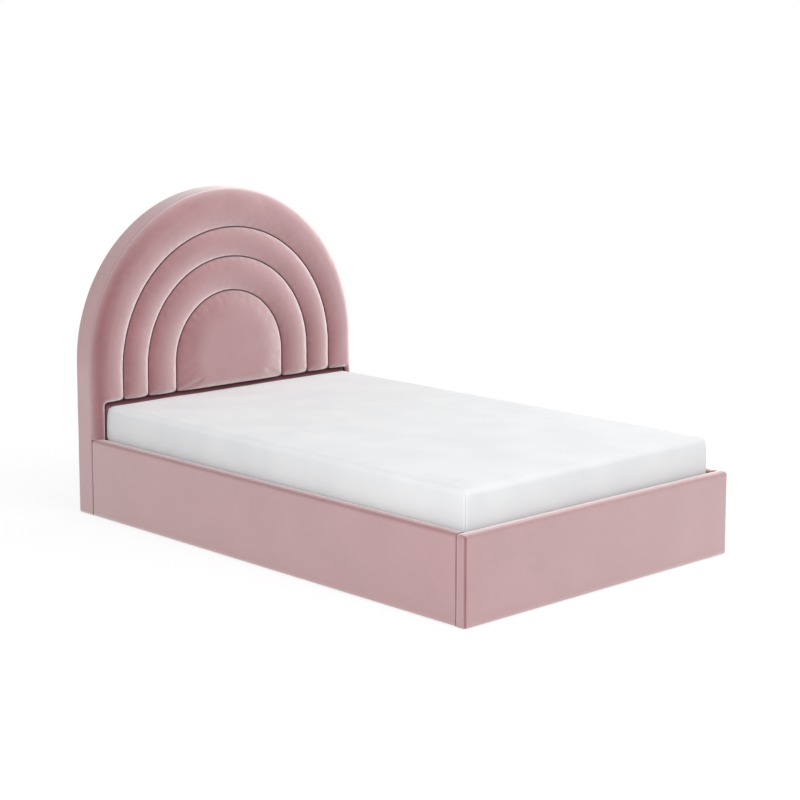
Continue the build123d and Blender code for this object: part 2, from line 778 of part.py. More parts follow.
# Sprung slats in moulded holders
slat_ends = (centre_web / 2, side_tube_outer - holder_wall)
slat_pitch = (frame_length - 2 * slat_end_margin - slat_width) / (slat_count - 1)
slat_top = slat_bottom + slat_thickness
slat_half = (slat_ends[1] - slat_ends[0]) / 2
slot_depth = holder_length - holder_wall
slot_top = slat_top + slat_bow * (1 - (1 - slot_depth / slat_half)**2) + slat_gap


def bowed_slat(side, start):
    """One slat across half the platform, bowed upwards between its two holders."""
    low, high = (side * end for end in slat_ends)
    middle = (low + high) / 2
    with BuildPart() as slat:
        with BuildSketch(facing_foot(start + slat_width)):
            with BuildLine():
                ThreePointArc((low, slat_bottom), (middle, slat_bottom + slat_bow), (high, slat_bottom))
                Line((high, slat_bottom), (high, slat_top))
                ThreePointArc((high, slat_top), (middle, slat_crown), (low, slat_top))
                Line((low, slat_top), (low, slat_bottom))
            make_face()
        extrude(amount=slat_width)
    return slat.part


def slat_holder(x_range, slots, start):
    """A moulded holder on a tube, with a slot in it for each slat's end."""
    slot_y = (start - slat_gap, start + slat_width + slat_gap)
    with BuildPart() as holder:
        block(x_range, (slot_y[0] - holder_wall, slot_y[1] + holder_wall), (tube_top, slot_top + holder_roof))
        for slot in slots:
            block(slot, slot_y, (slat_bottom, slot_top), Mode.SUBTRACT)
    return holder.part


centre_half = centre_web / 2 + slot_depth
holder_mouth = side_tube_outer - holder_length - overrun
slats = []
holders = []
for row in range(slat_count):
    start = frame_foot + slat_end_margin + row * slat_pitch
    for side in sides.values():
        slats.append(bowed_slat(side, start))
        x_range = (side * (side_tube_outer - holder_length), side * side_tube_outer)
        slot = (side * holder_mouth, side * slat_ends[1])
        holders.append(slat_holder(x_range, [slot], start))
    centre_slots = [(side * slat_ends[0], side * (centre_half + overrun)) for side in sides.values()]
    holders.append(slat_holder((-centre_half, centre_half), centre_slots, start))
save(Compound(children=slats), "slats")
save(Compound(children=holders), "slat_holders")

# Mattress stops on the head tube and the lift strap on the foot tube
stop_face = mattress_head + stop_gap
stops = []
for side in sides.values():
    x_range = (side * stop_offset - stop_width / 2, side * stop_offset + stop_width / 2)
    with BuildPart() as stop:
        block(x_range, (frame_head - tube_size, stop_face + stop_thickness),
              (tube_top, tube_top + stop_thickness))
        block(x_range, (stop_face, stop_face + stop_thickness), (tube_top, mattress_bottom + stop_height))
        fillet(stop.edges().filter_by(Axis.Y).group_by(Axis.Z)[-1], stop_corner_radius)
    stops.append(stop.part)
save(Compound(children=stops), "mattress_stops")

with BuildPart() as strap:
    block((-strap_width / 2, strap_width / 2), (frame_foot - strap_thickness, frame_foot),
          (tube_top - strap_length, tube_top))
    fillet(strap.edges().filter_by(Axis.X).group_by(Axis.Z)[0], (strap_thickness - strap_fold_flat) / 2)
save(strap.part, "lift_strap")


# Mattress: two crowned sections crossed, so that its corners meet in a mitred upright seam
def mattress_section(middle, half):
    """Draws the mattress across one way: flat bottom, rolled edges, swelled sides and crowned top."""
    side_line = half - mattress_swell
    flat = side_line - mattress_edge_radius
    slip = mattress_edge_radius * diagonal_share
    waist = (mattress_bottom + mattress_top) / 2
    low = mattress_bottom + mattress_edge_radius
    high = mattress_top - mattress_edge_radius
    with BuildLine() as outline:
        Line((middle - flat, mattress_bottom), (middle + flat, mattress_bottom))
        for way in (-1, 1):
            bottom_point = (middle + way * flat, mattress_bottom)
            low_point = (middle + way * side_line, low)
            high_point = (middle + way * side_line, high)
            top_point = (middle + way * flat, mattress_top)
            slip_x = middle + way * (side_line - slip)
            ThreePointArc(bottom_point, (slip_x, mattress_bottom + slip), low_point)
            ThreePointArc(low_point, (middle + way * half, waist), high_point)
            ThreePointArc(high_point, (slip_x, mattress_top - slip), top_point)
        ThreePointArc((middle + flat, mattress_top), (middle, mattress_top + mattress_crown),
                      (middle - flat, mattress_top))
    make_face(outline.edges())


with BuildPart() as mattress:
    with BuildSketch(facing_foot(back_face)):
        mattress_section(0, mattress_half)
    extrude(amount=bed_length)
    with BuildSketch(Plane.YZ.offset(-half_width)):
        mattress_section((mattress_foot + mattress_head) / 2, (mattress_head - mattress_foot) / 2)
    extrude(amount=bed_width, mode=Mode.INTERSECT)
save(mattress.part, "mattress")
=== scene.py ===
import json
from math import atan2, hypot, pi, radians

import bmesh
import bpy
import numpy as np
from mathutils import Euler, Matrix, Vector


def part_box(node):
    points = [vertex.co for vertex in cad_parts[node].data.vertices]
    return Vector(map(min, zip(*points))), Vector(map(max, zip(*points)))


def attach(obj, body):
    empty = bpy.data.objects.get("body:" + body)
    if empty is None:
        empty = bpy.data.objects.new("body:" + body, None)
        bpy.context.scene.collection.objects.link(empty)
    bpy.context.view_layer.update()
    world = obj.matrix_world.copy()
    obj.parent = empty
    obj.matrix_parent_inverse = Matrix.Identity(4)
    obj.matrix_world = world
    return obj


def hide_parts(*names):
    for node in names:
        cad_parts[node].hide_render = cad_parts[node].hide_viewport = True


# Ottoman bed with an arched, channelled headboard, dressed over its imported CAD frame. Metres.
# +X is right as seen from the foot, +Y runs to the headboard, +Z is up.
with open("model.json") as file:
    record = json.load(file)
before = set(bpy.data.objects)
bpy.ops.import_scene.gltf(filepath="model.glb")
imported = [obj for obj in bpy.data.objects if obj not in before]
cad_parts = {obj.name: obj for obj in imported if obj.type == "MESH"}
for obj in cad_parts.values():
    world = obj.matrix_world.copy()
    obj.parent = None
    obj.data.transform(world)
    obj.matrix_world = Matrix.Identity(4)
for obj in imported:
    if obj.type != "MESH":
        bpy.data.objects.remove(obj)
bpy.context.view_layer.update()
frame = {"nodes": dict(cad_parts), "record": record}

# Sizes of the frame
border_low, border_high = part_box("headboard_border")
second_low, second_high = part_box("headboard_second_channel")
panel_low, panel_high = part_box("headboard_lower_panel")
rail_low, rail_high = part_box("side_rail_cover_right")
rail_board_low, rail_board_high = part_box("side_rail_board_right")
foot_low, foot_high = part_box("footboard_cover")
foot_board_low, foot_board_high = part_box("footboard_board")
mattress_low, mattress_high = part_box("mattress")

half_width = border_high.x
headboard_top = border_high.z
back_face = border_high.y
joint_face = border_low.y
floor_gap = border_low.z
puff_lift = 0.002
cross_seam = second_low.z - puff_lift
outer_seam_radius = second_high.x
arch_middle = second_high.z - second_high.x
second_seam_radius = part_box("headboard_third_channel")[1].x
third_seam_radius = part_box("headboard_centre_pad")[1].x
border_thickness = half_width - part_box("headboard_front_board")[1].x
rail_top = rail_high.z
rail_inner = rail_low.x
board_outer = rail_board_high.x
board_top = rail_board_high.z

# The headboard's three-centred outline: two side arcs and a flatter top arc
arch_drop = 0.006
arch_flattening = 0.005
arch_rise = half_width - arch_drop
arch_spring = headboard_top - arch_rise
arch_side_radius = arch_rise - arch_flattening
arch_side_middle = half_width - arch_side_radius
arch_top_radius = (arch_side_middle**2 + arch_rise**2 - arch_side_radius**2) / (2 * arch_flattening)
arch_top_middle = headboard_top - arch_top_radius
arch_turn = atan2(arch_spring - arch_top_middle, arch_side_middle)


# Making meshes
def mesh_piece(name, points, faces, seam_shade=()):
    """A new piece from an array of points and a list of faces, with its faces turned outwards. seam_shade
    gives each point its share of painted seam shade, 1 in a seam and 0 elsewhere. A cap of more than four
    corners stays flat."""
    mesh = bpy.data.meshes.new(name)
    mesh.from_pydata(np.asarray(points, float).tolist(), [], faces)
    marks = np.zeros(len(mesh.vertices))
    marks[:np.size(seam_shade)] = np.ravel(seam_shade)
    mesh.attributes.new("seam_shade", "FLOAT", "POINT").data.foreach_set("value", marks)
    shape = bmesh.new()
    shape.from_mesh(mesh)
    bmesh.ops.remove_doubles(shape, verts=shape.verts, dist=0.00001)
    bmesh.ops.recalc_face_normals(shape, faces=shape.faces)
    shape.to_mesh(mesh)
    shape.free()
    corners = np.zeros(len(mesh.polygons), int)
    mesh.polygons.foreach_get("loop_total", corners)
    mesh.polygons.foreach_set("use_smooth", corners <= 4)
    piece = bpy.data.objects.new(name, mesh)
    bpy.context.scene.collection.objects.link(piece)
    return piece


def point_array(mesh):
    """A mesh's points as an array of rows."""
    points = np.zeros(len(mesh.vertices) * 3)
    mesh.vertices.foreach_get("co", points)
    return points.reshape(-1, 3)


def damp_painted_sheen(piece, share):
    """Says how much of the velvet's painted sheen is taken off on each point of a piece, from 0 to 1."""
    piece.data.attributes.new("painted_sheen_damping", "FLOAT", "POINT").data.foreach_set("value", share)


def grid_faces(rows, columns, start=0, around=False):
    """Four-sided faces between the neighbours of a grid of points, closed round its columns if asked."""
    row = np.arange(rows - 1)[:, None]
    column = np.arange(columns if around else columns - 1)[None, :]
    after = (column + 1) % columns
    corners = (row * columns + column, row * columns + after,
               (row + 1) * columns + after, (row + 1) * columns + column)
    return (np.stack(np.broadcast_arrays(*corners), -1).reshape(-1, 4) + start).tolist()


def ring_piece(name, rings, seam_shade=()):
    """Closed rings of points joined in order. Each end is closed by one flat face."""
    rows, columns = rings.shape[:2]
    faces = grid_faces(rows, columns, around=True)
    faces.append(list(range(columns - 1, -1, -1)))
    faces.append(list(range((rows - 1) * columns, rows * columns)))
    return mesh_piece(name, rings.reshape(-1, 3), faces, seam_shade)


def even_steps(line, count, closed=False):
    """A line of points taken again at even distances along itself."""
    if closed:
        line = np.concatenate([line, line[:1]])
    run = np.concatenate([[0.0], np.cumsum(np.linalg.norm(np.diff(line, axis=0), axis=1))])
    wanted = np.linspace(0.0, run[-1], count, endpoint=not closed)
    return np.stack([np.interp(wanted, run, line[:, k]) for k in range(line.shape[1])], -1)


def eased(count):
    """Even steps from 0 to 1 moved closer together at both ends: half a cosine wave."""
    return 0.5 - 0.5 * np.cos(np.linspace(0.0, pi, count))


def arc(middle, radius, start, end, count):
    """Points on a circle's arc between two angles, in one plane."""
    angle = np.linspace(start, end, count)
    return np.stack([middle[0] + radius * np.cos(angle), middle[1] + radius * np.sin(angle)], -1)


def edge_distance(places, line):
    """How far each place is from a line of points: the least distance to any of its straight runs."""
    least = np.full(len(places), np.inf)
    for start, end in zip(line[:-1], line[1:]):
        run = end - start
        share = np.clip(((places - start) @ run) / max(run @ run, 1e-12), 0.0, 1.0)
        least = np.minimum(least, np.linalg.norm(places - start - share[:, None] * run, axis=1))
    return least


def mark(distance, reach):
    """1 on a line and less beside it: a bell curve of the distance over a reach."""
    return np.exp(-(distance / reach) ** 2)


def roll(distance, reach, outward=1.85, upward=2.2):
    """A padded edge's rise from 0 at the seam to 1 at its reach: a superellipse's quarter."""
    share = np.clip(distance / reach, 0.0, 1.0)
    return (1.0 - (1.0 - share) ** outward) ** (1.0 / upward)


def soft_waves(places, length, seed, count=9):
    """The unevenness of real cloth, from about -1 to 1: sines of about one length, in directions drawn
    from one seed, added up."""
    chance = np.random.default_rng(seed)
    way = chance.normal(size=(count, places.shape[1]))
    way /= np.linalg.norm(way, axis=1)[:, None]
    pitch = 2 * pi / (length * chance.uniform(0.7, 1.5, count))
    phase = chance.uniform(0, 2 * pi, count)
    return np.sin(places @ way.T * pitch + phase).sum(1) / count**0.5 / 1.6


# Shader trees
class Signal:
    """A node's output that adds Math nodes when it is used in arithmetic."""

    def __init__(self, made, socket):
        self.made = made
        self.socket = socket

    def maths(self, operation, first, second):
        return self.made.node("Math", {"operation": operation}, {0: first, 1: second})

    def __add__(self, other):
        return self.maths("ADD", self, other)

    def __sub__(self, other):
        return self.maths("SUBTRACT", self, other)

    def __rsub__(self, other):
        return self.maths("SUBTRACT", other, self)

    def __mul__(self, other):
        return self.maths("MULTIPLY", self, other)

    def __pow__(self, other):
        return self.maths("POWER", self, other)

    __radd__ = __add__
    __rmul__ = __mul__

    def between(self, low, high):
        """0 below low, 1 above high and a smooth step in between."""
        return self.made.node("MapRange", {"interpolation_type": "SMOOTHSTEP"},
                              {"Value": self, "From Min": low, "From Max": high}, "Result")


class Finish:
    """The shader nodes of one material, or of the world."""

    def __init__(self, owner):
        owner.use_nodes = True
        self.owner = owner
        self.tree = owner.node_tree
        self.place = self.node("TexCoord", output="Object")

    def put(self, socket, value):
        """Sets a socket to a number or colour, or links a signal to it."""
        if isinstance(value, Signal):
            self.tree.links.new(value.socket, socket)
        elif socket.type == "RGBA":
            socket.default_value = (*value, 1.0)
        else:
            socket.default_value = value

    def node(self, kind, settings=None, values=None, output=0):
        """Adds a node of a kind, its settings first and then its sockets, and gives one output."""
        added = self.tree.nodes.new("ShaderNode" + kind)
        for key, setting in (settings or {}).items():
            setattr(added, key, setting)
        for key, value in (values or {}).items():
            self.put(added.inputs[key], value)
        return Signal(self, added.outputs[output])

    def noise(self, scale, detail=2.0, roughness=0.5, stretch=None):
        """A noise of one scale on the piece's own place, stretched along an axis if asked."""
        place = self.place
        if stretch:
            place = self.node("Mapping", {}, {"Vector": place, "Scale": stretch})
        return self.node("TexNoise", {}, {"Vector": place, "Scale": scale, "Detail": detail,
                                          "Roughness": roughness}, "Fac")

    def mixed(self, share, first, second):
        """Two colours mixed by a share."""
        return self.node("Mix", {"data_type": "RGBA"}, {0: share, 6: first, 7: second}, 2)

    def bumped(self, height, distance, strength, **under):
        """A surface bumped by a height over a distance in metres, on top of another Normal if given."""
        values = {"Height": height, "Distance": distance, "Strength": strength, **under}
        return self.node("Bump", {}, values)

    def shade(self, **values):
        """Sets the surface's sockets by name, with underscores for spaces."""
        for key, value in values.items():
            self.put(self.tree.nodes["Principled BSDF"].inputs[key.replace("_", " ")], value)

    def show(self, shader):
        """Puts a shader on the tree's output."""
        shown = next(node for node in self.tree.nodes if node.name.endswith("Output"))
        self.put(shown.inputs["Surface"], shader)

    def painted_seam_shade(self, colour):
        """Paints seam shade: turns the surface to one dull dark colour where a point's seam_shade is high,
        in and beside the seams.
        """
        seam_shade_mask = self.node("Attribute", {"attribute_name": "seam_shade"}, {}, "Fac")
        face = Signal(self, self.tree.nodes["Principled BSDF"].outputs["BSDF"])
        seam_shade_surface = self.node("BsdfPrincipled", {}, {"Base Color": colour, "Roughness": 0.95,
                                                "Specular IOR Level": 0.05})
        self.show(self.node("MixShader", {}, {0: seam_shade_mask, 1: face, 2: seam_shade_surface}))


def linear(red, green, blue):
    """A colour written as 0 to 255 screen values, as the light values that a shader takes."""
    share = np.array([red, green, blue]) / 255
    return tuple(np.where(share <= 0.04045, share / 12.92, ((share + 0.055) / 1.055) ** 2.4).tolist())


# Finishes
velvet_deep = linear(135, 91, 95)
velvet_worn = linear(147, 102, 106)
# Pale colours of the painted sheen and painted highlight, mixed into the velvet's base colour at a slant
velvet_painted_sheen = linear(213, 184, 186)
velvet_painted_highlight = linear(246, 230, 232)
velvet_shadow = linear(114, 80, 84)
# Dark colour of the velvet's painted seam shade
velvet_seam_shade = linear(80, 22, 34)
velvet_glow = linear(255, 246, 246)


def velvet_finish(made):
    """Short-pile velvet: a deep colour face on, a painted sheen and a painted highlight that pale the base
    colour at a slant, patches of worn tone and a fine pile. Where a piece's sheen damping attribute is 1,
    most of the painted sheen is taken off."""
    patches = made.noise(6.0, 3.0, 0.5)
    smudges = made.noise(34.0, 2.0, 0.6)
    nap = made.noise(700.0, 2.0, 0.6)
    sheen_damping = made.node("Attribute", {"attribute_name": "painted_sheen_damping"}, {}, "Fac")
    # Painted sheen and painted highlight: the base colour turns pale with the view's slant, less where the
    # sheen is damped
    slant = made.node("LayerWeight", {}, {"Blend": 0.5}, "Facing") * (1.0 - sheen_damping * 0.95)
    tone = patches.between(0.3, 0.7) * 0.6 + smudges.between(0.3, 0.72) * 0.4
    deep = made.mixed(tone, velvet_deep, velvet_worn)
    painted_sheen_mix = made.mixed(slant**0.8, deep, velvet_painted_sheen)
    painted_highlight_mix = made.mixed(slant.between(0.4, 0.76) * 0.7, painted_sheen_mix, velvet_painted_highlight)
    pile = made.mixed(nap.between(0.35, 0.65) * 0.14, painted_highlight_mix, velvet_shadow)
    surface = made.bumped(nap, 0.0006, 0.3)
    surface = made.bumped(smudges, 0.0016, 0.2, Normal=surface)
    made.shade(Base_Color=pile, Roughness=0.7 + patches * 0.2, Normal=surface, Sheen_Weight=1.0,
               Sheen_Roughness=0.5, Sheen_Tint=velvet_glow, Specular_IOR_Level=0.1)
    made.painted_seam_shade(velvet_seam_shade)


def mattress_finish(made):
    """White stretch knit: fine courses, painted shade in the corner seams and a matt face."""
    slow = made.noise(5.0, 2.0, 0.5)
    knit = made.node("TexWave", {"wave_type": "BANDS", "bands_direction": "DIAGONAL"},
                     {"Vector": made.place, "Scale": 180.0, "Distortion": 1.5, "Detail": 1.0,
                      "Detail Scale": 3.0}, "Fac")
    loops = made.noise(900.0, 1.0, 0.5)
    tone = slow.between(0.3, 0.7) * 0.7 + loops * 0.3
    colour = made.mixed(tone, linear(211, 213, 215), linear(219, 220, 221))
    surface = made.bumped(knit * 0.6 + loops * 0.4, 0.0006, 0.3)
    made.shade(Base_Color=colour, Roughness=0.86, Normal=surface, Sheen_Weight=0.15,
               Sheen_Roughness=0.6, Specular_IOR_Level=0.2)
    # Painted seam shade: a grey where seam_shade is high
    made.painted_seam_shade(linear(150, 152, 155))


def cloth_finish(made, colour, paler, weave, sheen):
    """A woven or felted cloth of one colour with crossing threads."""
    values = {"Vector": made.place, "Scale": weave, "Distortion": 0.6, "Detail": 1.0}
    warp, weft = [made.node("TexWave", {"bands_direction": way}, values, "Fac") for way in "XZ"]
    fluff = made.noise(240.0, 3.0, 0.6)
    threads = warp * weft
    shade = made.mixed(threads * 0.5 + fluff * 0.5, colour, paler)
    surface = made.bumped(threads * 0.7 + fluff * 0.3, 0.0005, 0.5)
    made.shade(Base_Color=shade, Roughness=0.8 + fluff * 0.15, Normal=surface,
               Sheen_Weight=sheen, Sheen_Roughness=0.5, Specular_IOR_Level=0.2)


def wood_finish(made, dark, light, grain, gloss, stretch):
    """Wood with long grain along one axis, fine pores and a little wear."""
    figure = made.noise(grain, 4.0, 0.6, stretch)
    pores = made.noise(grain * 9, 2.0, 0.7, stretch)
    colour = made.mixed(figure.between(0.3, 0.7) * 0.75 + pores * 0.25, dark, light)
    surface = made.bumped(pores * 0.6 + figure * 0.4, 0.0004, 0.4)
    made.shade(Base_Color=colour, Roughness=gloss + pores * 0.2, Normal=surface)


def board_finish(made):
    """Pressed board: chips of mixed colour in random directions."""
    chips = made.node("TexVoronoi", {"feature": "F1"},
                      {"Vector": made.place, "Scale": 160.0, "Randomness": 1.0}, "Color")
    split = made.node("SeparateColor", {}, {"Color": chips})
    dust = made.noise(420.0, 2.0, 0.6)
    colour = made.mixed(split * 0.7 + dust * 0.3, linear(172, 138, 98), linear(222, 193, 150))
    surface = made.bumped(split * 0.6 + dust * 0.4, 0.0004, 0.4)
    made.shade(Base_Color=colour, Roughness=0.75 + dust * 0.2, Normal=surface)


def plastic_finish(made):
    """Moulded plastic with a fine spark texture."""
    spark = made.noise(1500.0, 2.0, 0.6)
    scuff = made.noise(60.0, 4.0, 0.7)
    colour = made.mixed(scuff.between(0.55, 0.8), linear(33, 33, 34), linear(58, 58, 60))
    made.shade(Base_Color=colour, Roughness=0.42 + scuff * 0.25, Normal=made.bumped(spark, 0.0003, 0.4))


def paint_finish(made, colour, worn, gloss, peel):
    """Paint on steel: orange peel of one scale and paler rubbed patches."""
    skin = made.noise(peel, 2.0, 0.5)
    rub = made.noise(24.0, 5.0, 0.7)
    shade = made.mixed(rub.between(0.58, 0.8), colour, worn)
    made.shade(Base_Color=shade, Roughness=gloss + rub * 0.2, Normal=made.bumped(skin, 0.0004, 0.3))


def steel_finish(made, colour, darker, gloss, brush):
    """Bare plated steel: fine brushing along the bed and cloudy plating."""
    cloud = made.noise(30.0, 4.0, 0.6)
    lines = made.noise(brush, 2.0, 0.6, (1.0, 0.06, 1.0))
    shade = made.mixed(cloud.between(0.3, 0.7), darker, colour)
    made.shade(Base_Color=shade, Metallic=1.0, Roughness=gloss + lines * 0.14 + cloud * 0.08,
               Normal=made.bumped(lines, 0.0002, 0.3))


recipes = {
    "velvet": (velvet_finish,),
    "mattress_cloth": (mattress_finish,),
    "back_cloth": (cloth_finish, linear(50, 48, 49), linear(88, 86, 87), 210.0, 0.35),
    "webbing": (cloth_finish, linear(18, 18, 19), linear(46, 46, 48), 420.0, 0.2),
    "board": (board_finish,),
    "timber": (wood_finish, linear(190, 148, 98), linear(226, 192, 143), 22.0, 0.6, (1.0, 1.0, 0.12)),
    "floor_board": (wood_finish, linear(122, 88, 60), linear(150, 112, 80), 70.0, 0.4, (1.0, 0.7, 1.0)),
    "slat_wood": (wood_finish, linear(205, 163, 113), linear(236, 205, 160), 34.0, 0.34, (0.12, 1.0, 1.0)),
    "black_plastic": (plastic_finish,),
    "painted_steel": (paint_finish, linear(30, 30, 32), linear(62, 62, 64), 0.42, 800.0),
    "plated_steel": (steel_finish, linear(205, 205, 200), linear(168, 168, 166), 0.26, 500.0),
    "strut_paint": (paint_finish, linear(20, 20, 21), linear(42, 42, 44), 0.2, 200.0),
    "rod_chrome": (steel_finish, linear(228, 228, 230), linear(206, 206, 210), 0.07, 300.0),
}
finishes = {}
for slot, (recipe, *values) in recipes.items():
    made = Finish(bpy.data.materials.new(slot))
    recipe(made, *values)
    finishes[slot] = made.owner

for subpart in frame["record"]["subparts"]:
    node = frame["nodes"][subpart["node"]]
    node.data.materials.clear()
    node.data.materials.append(finishes[subpart["material_slot"]])


def dress(piece, node, slot="velvet", body="base"):
    """Gives a new piece its finish and its body, and lets it stand for its CAD node."""
    piece.data.materials.append(finishes[slot])
    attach(piece, body)
    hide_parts(node)


# Padding of the headboard
seam_floor = 0.015
crown_height = 0.0425
pad_crown_height = 0.0475
foot_reach = 0.026
centre_reach = 0.12
centre_drop = 0.02
channel_reach = 0.066
leg_reach = 0.02
outer_edge_height = 0.0006
edge_drop = 0.001
edge_turn = 0.01
outer_roll = 0.058
outer_start = 0.012
seam_clearance = 0.0004
back_clearance = 0.0002
seam_shade_width = 0.0024
puff_corner = 0.014
leg_gap = 0.005
under_turn = 0.012
pucker_length = 0.036
pucker_reach = 0.022
pucker_start = 0.003
pucker_depth = 0.0009
sway_length = 0.16
sway_depth = 0.0008
ring_packing = 0.6
ring_power = 1.4
mirrored = (-1.0, 1.0)


# The headboard's lines
def arch_line(inset, bottom, fineness=60):
    """The headboard's outline moved in by one inset, from the left leg's foot to the right one's, with
    the way outwards at each point: a leg, a side arc, the flatter top arc, a side arc and a leg."""
    angle = np.concatenate([
        np.full(fineness, pi),
        np.linspace(pi, pi - arch_turn, fineness + 1),
        np.linspace(pi - arch_turn, arch_turn, 2 * fineness)[1:-1],
        np.linspace(arch_turn, 0.0, fineness + 1),
        np.full(fineness, 0.0)])
    leg = np.linspace(bottom, arch_spring, fineness, endpoint=False)
    middle_z = np.concatenate([leg, np.full(fineness + 1, arch_spring),
                               np.full(2 * fineness - 2, arch_top_middle),
                               np.full(fineness + 1, arch_spring), leg[::-1]])
    side = np.where(angle > pi - arch_turn - 1e-9, -1.0, np.where(angle < arch_turn + 1e-9, 1.0, 0.0))
    radius = np.where(side == 0.0, arch_top_radius, arch_side_radius) - inset
    way = np.stack([np.cos(angle), np.sin(angle)], -1)
    middle = np.stack([side * arch_side_middle, middle_z], -1)
    return middle + radius[:, None] * way, way


def half_line(points):
    """A line from the left foot over the top to the right foot, from its right half drawn upwards."""
    return np.concatenate([points[:-1] * mirrored, points[::-1]])


def seam_side(radius, corner):
    """The right half of a seam: a turn of one radius at its foot, outwards where corner is below 0, and
    up the leg and over a quarter circle."""
    turn = abs(corner)
    end = 0.0 if corner > 0 else -pi
    foot = arc((radius - corner, cross_seam + turn), turn, -pi / 2, end, 10)
    return np.concatenate([foot, arc((0.0, arch_middle), radius, 0.0, pi / 2, 90)])


def foot_line(reach_out):
    """The cross seam under the puffs, out to one distance from the middle on both sides."""
    return np.array([[-reach_out, cross_seam], [reach_out, cross_seam]])


def padded_height(places, edges, crown, seed):
    """The height of a pad's face in front of the board, and the share of painted seam shade on each place,
    1 on a seam and falling off beside it. The height is the seam's floor plus a product of superellipses,
    one of the distance to each edge over its reach, with puckers near the seams and slow waves between
    them."""
    rise = np.ones(len(places))
    nearest = np.full(len(places), np.inf)
    for line, reach in edges:
        distance = edge_distance(places, line)
        rise *= roll(distance, reach)
        nearest = np.minimum(nearest, distance)
    height = seam_floor + (crown - seam_floor) * rise
    fade = np.exp(-nearest / pucker_reach) * (1 - np.exp(-nearest / pucker_start))
    height += pucker_depth * fade * soft_waves(places, pucker_length, seed)
    height += sway_depth * rise * soft_waves(places, sway_length, seed + 1)
    # Painted seam shade: 1 on the nearest seam and falling off beside it
    return height, mark(nearest, seam_shade_width)


def upright(flat, y):
    """Points over places on the headboard (across, up), each at its own y."""
    return np.stack([flat[..., 0], np.reshape(y, flat.shape[:-1]), flat[..., 1]], -1)


def padded_between(name, inner, outer, edges, crown, across, along, seed, outer_edge=None):
    """A pad between two lines, in rings of steps from the inner line to the outer one, closer together
    at both, with the height that its edges give it. It falls in an elliptic roll towards an outer edge
    where there is one. Its back is flat."""
    inner = even_steps(inner, along)
    outer = even_steps(outer, along)
    share = ring_packing * eased(across) + (1 - ring_packing) * np.linspace(0.0, 1.0, across)
    flat = inner[:, None] + share[None, :, None] * (outer - inner)[:, None]
    places = flat.reshape(-1, 2)
    height, painted_seam_shade = padded_height(places, edges, crown, seed)
    if outer_edge is not None:
        inward = np.clip(edge_distance(places, outer_edge) / outer_roll, 0.0, 1.0)
        start = (1.0 - (1.0 - outer_start) ** 2) ** 0.5
        fall = np.sqrt(1.0 - ((1.0 - outer_start) * (1.0 - inward)) ** 2)
        height = outer_edge_height + (height - outer_edge_height) * (fall - start) / (1.0 - start)
    front = upright(flat, joint_face - height)
    back = inner[:, None] + np.linspace(1.0, 0.0, 5)[None, :, None] * (outer - inner)[:, None]
    back = upright(back, np.full(back.shape[:2], joint_face - back_clearance))
    marks = np.concatenate([painted_seam_shade.reshape(flat.shape[:2]), np.zeros(back.shape[:2])], 1)
    return ring_piece(name, np.concatenate([front, back], 1), marks)


def closed_pad(name, edge, edges, crown, along, inward, seed):
    """A pad inside one closed line, in rings that shrink by a power of their share to a point just below
    its middle, with the height that its edges give it and a flat back."""
    loop = even_steps(edge, along, closed=True)
    middle = np.array([0.0, 0.5 * (loop[:, 1].max() + loop[:, 1].min()) - centre_drop])
    shrink = 1.0 - np.linspace(0.0, 1.0, inward) ** ring_power
    flat = middle + shrink[:, None, None] * (loop - middle)[None]
    height, painted_seam_shade = padded_height(flat.reshape(-1, 2), edges, crown, seed)
    front = upright(flat, joint_face - height)
    back = front[:1].copy()
    back[..., 1] = joint_face - back_clearance
    rings = np.concatenate([back, front[:-1]])
    rows, columns = rings.shape[:2]
    points = np.concatenate([rings.reshape(-1, 3), front[-1].mean(0)[None], back[0].mean(0)[None]])
    faces = grid_faces(rows, columns, around=True)
    for c in range(columns):
        after = (c + 1) % columns
        faces.append([rows * columns, (rows - 1) * columns + c, (rows - 1) * columns + after])
        faces.append([rows * columns + 1, after, c])
    marks = np.concatenate([np.zeros(columns), painted_seam_shade.reshape(flat.shape[:2])[:-1].ravel()])
    return mesh_piece(name, points, faces, marks)


# The second and third channel: arched puffs between two seams, with rounded corners at their feet
swelled = []
for place, inner_radius, outer_radius, seed in (("second", second_seam_radius, outer_seam_radius, 21),
                                                ("third", third_seam_radius, second_seam_radius, 33)):
    inner = half_line(seam_side(inner_radius + seam_clearance, -puff_corner))
    outer = half_line(seam_side(outer_radius - seam_clearance, puff_corner))
    half = (outer_radius - inner_radius) / 2
    edges = [(inner, half), (outer, half), (foot_line(outer_radius), foot_reach)]
    puff = padded_between(f"{place}_channel_pad", inner, outer, edges, crown_height, across=34,
                          along=280, seed=seed)
    dress(puff, f"headboard_{place}_channel")
    swelled.append(puff)

pad_line = half_line(seam_side(third_seam_radius - seam_clearance, puff_corner))
pad_edges = [(pad_line, centre_reach), (foot_line(third_seam_radius), foot_reach)]
centre_pad = closed_pad("centre_pad", pad_line, pad_edges, pad_crown_height, along=300, inward=44,
                        seed=47)
dress(centre_pad, "headboard_centre_pad")
swelled.append(centre_pad)

